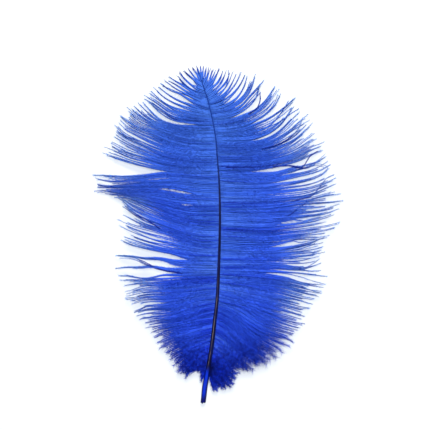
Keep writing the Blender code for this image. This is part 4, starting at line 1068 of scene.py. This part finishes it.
def make_surface():
    """A flat square at z = 0, 3 m wide, that belongs to the scene and not to the feather."""
    mesh = bpy.data.meshes.new("surface")
    corners = [(1.5 * x, 1.5 * y, 0) for x, y in ((-1, -1), (1, -1), (1, 1), (-1, 1))]
    mesh.from_pydata(corners, [], [(0, 1, 2, 3)])
    mesh.materials.append(pale_surface())
    surface = bpy.data.objects.new("surface", mesh)
    bpy.context.scene.collection.objects.link(surface)


def make_lamp(name, place, size, energy):
    """A round, soft lamp at the place, in metres, that faces the middle of the feather."""
    lamp = bpy.data.lights.new(name, "AREA")
    lamp.shape = "DISK"
    lamp.size = size
    lamp.energy = energy
    lamp.color = (1.0, 0.985, 0.96)
    holder = bpy.data.objects.new(name, lamp)
    bpy.context.scene.collection.objects.link(holder)
    x, y, z = place
    holder.location = place
    holder.rotation_euler = (math.atan2(math.hypot(x, y), z), 0.0, math.atan2(x, -y))


def make_lights():
    """A soft lamp almost overhead, a second beyond the feather's tip, and weak, pale light all round."""
    make_lamp("overhead_lamp", (0.1, 0.2, 1.2), 0.3, 8.5)
    make_lamp("tip_lamp", (0.05, 0.8, 0.9), 0.5, 17.0)
    world = bpy.data.worlds.new("pale_room")
    world.use_nodes = True
    background = world.node_tree.nodes["Background"]
    background.inputs["Color"].default_value = (0.94, 0.96, 1.0, 1.0)
    background.inputs["Strength"].default_value = 0.3
    bpy.context.scene.world = world


def make_camera():
    """Straight above the feather, the frame 229 mm wide at the height of the vane."""
    lens, sensor, frame_width, vane_height = 100.0, 36.0, 0.229, 0.004
    camera = bpy.data.cameras.new("camera")
    camera.lens = lens
    camera.sensor_width = sensor
    camera.clip_end = 10.0
    holder = bpy.data.objects.new("camera", camera)
    holder.location = (-0.0008, 0.0105, vane_height + frame_width * lens / sensor)
    bpy.context.scene.collection.objects.link(holder)
    bpy.context.scene.camera = holder


def main():
    rng = np.random.default_rng(SEED)
    barbs = dyed_barbs(dye_bath())
    sides = (
        ("left", LEFT_LINES, LEFT_HAIR_BEYOND, LEFT_PARTS_EARLIER),
        ("right", RIGHT_LINES, RIGHT_HAIR_BEYOND, RIGHT_PARTS_EARLIER),
    )
    for side_name, lines, hair_beyond, parts_earlier in sides:
        root_y, part_share, paths, line_reach = line_paths(lines, hair_beyond, parts_earlier)
        thirds = cut_in_three(barb_plans(root_y, part_share, paths, line_reach, rng))
        for part_name, part in zip(("upper", "middle", "lower"), thirds):
            make_barbs(f"{side_name}_{part_name}_barbs", part, barbs, rng)
        beneath = under_plans(root_y, part_share, paths, rng)
        make_barbs(f"{side_name}_under_barbs", beneath, barbs, rng, "under")
    make_barbs("loose_barbs", loose_plans(rng), barbs, rng, "loose")
    make_shaft(dyed_and_shaded_shaft())
    make_surface()
    make_lights()
    make_camera()
    bpy.context.scene.view_settings.view_transform = "Standard"


main()
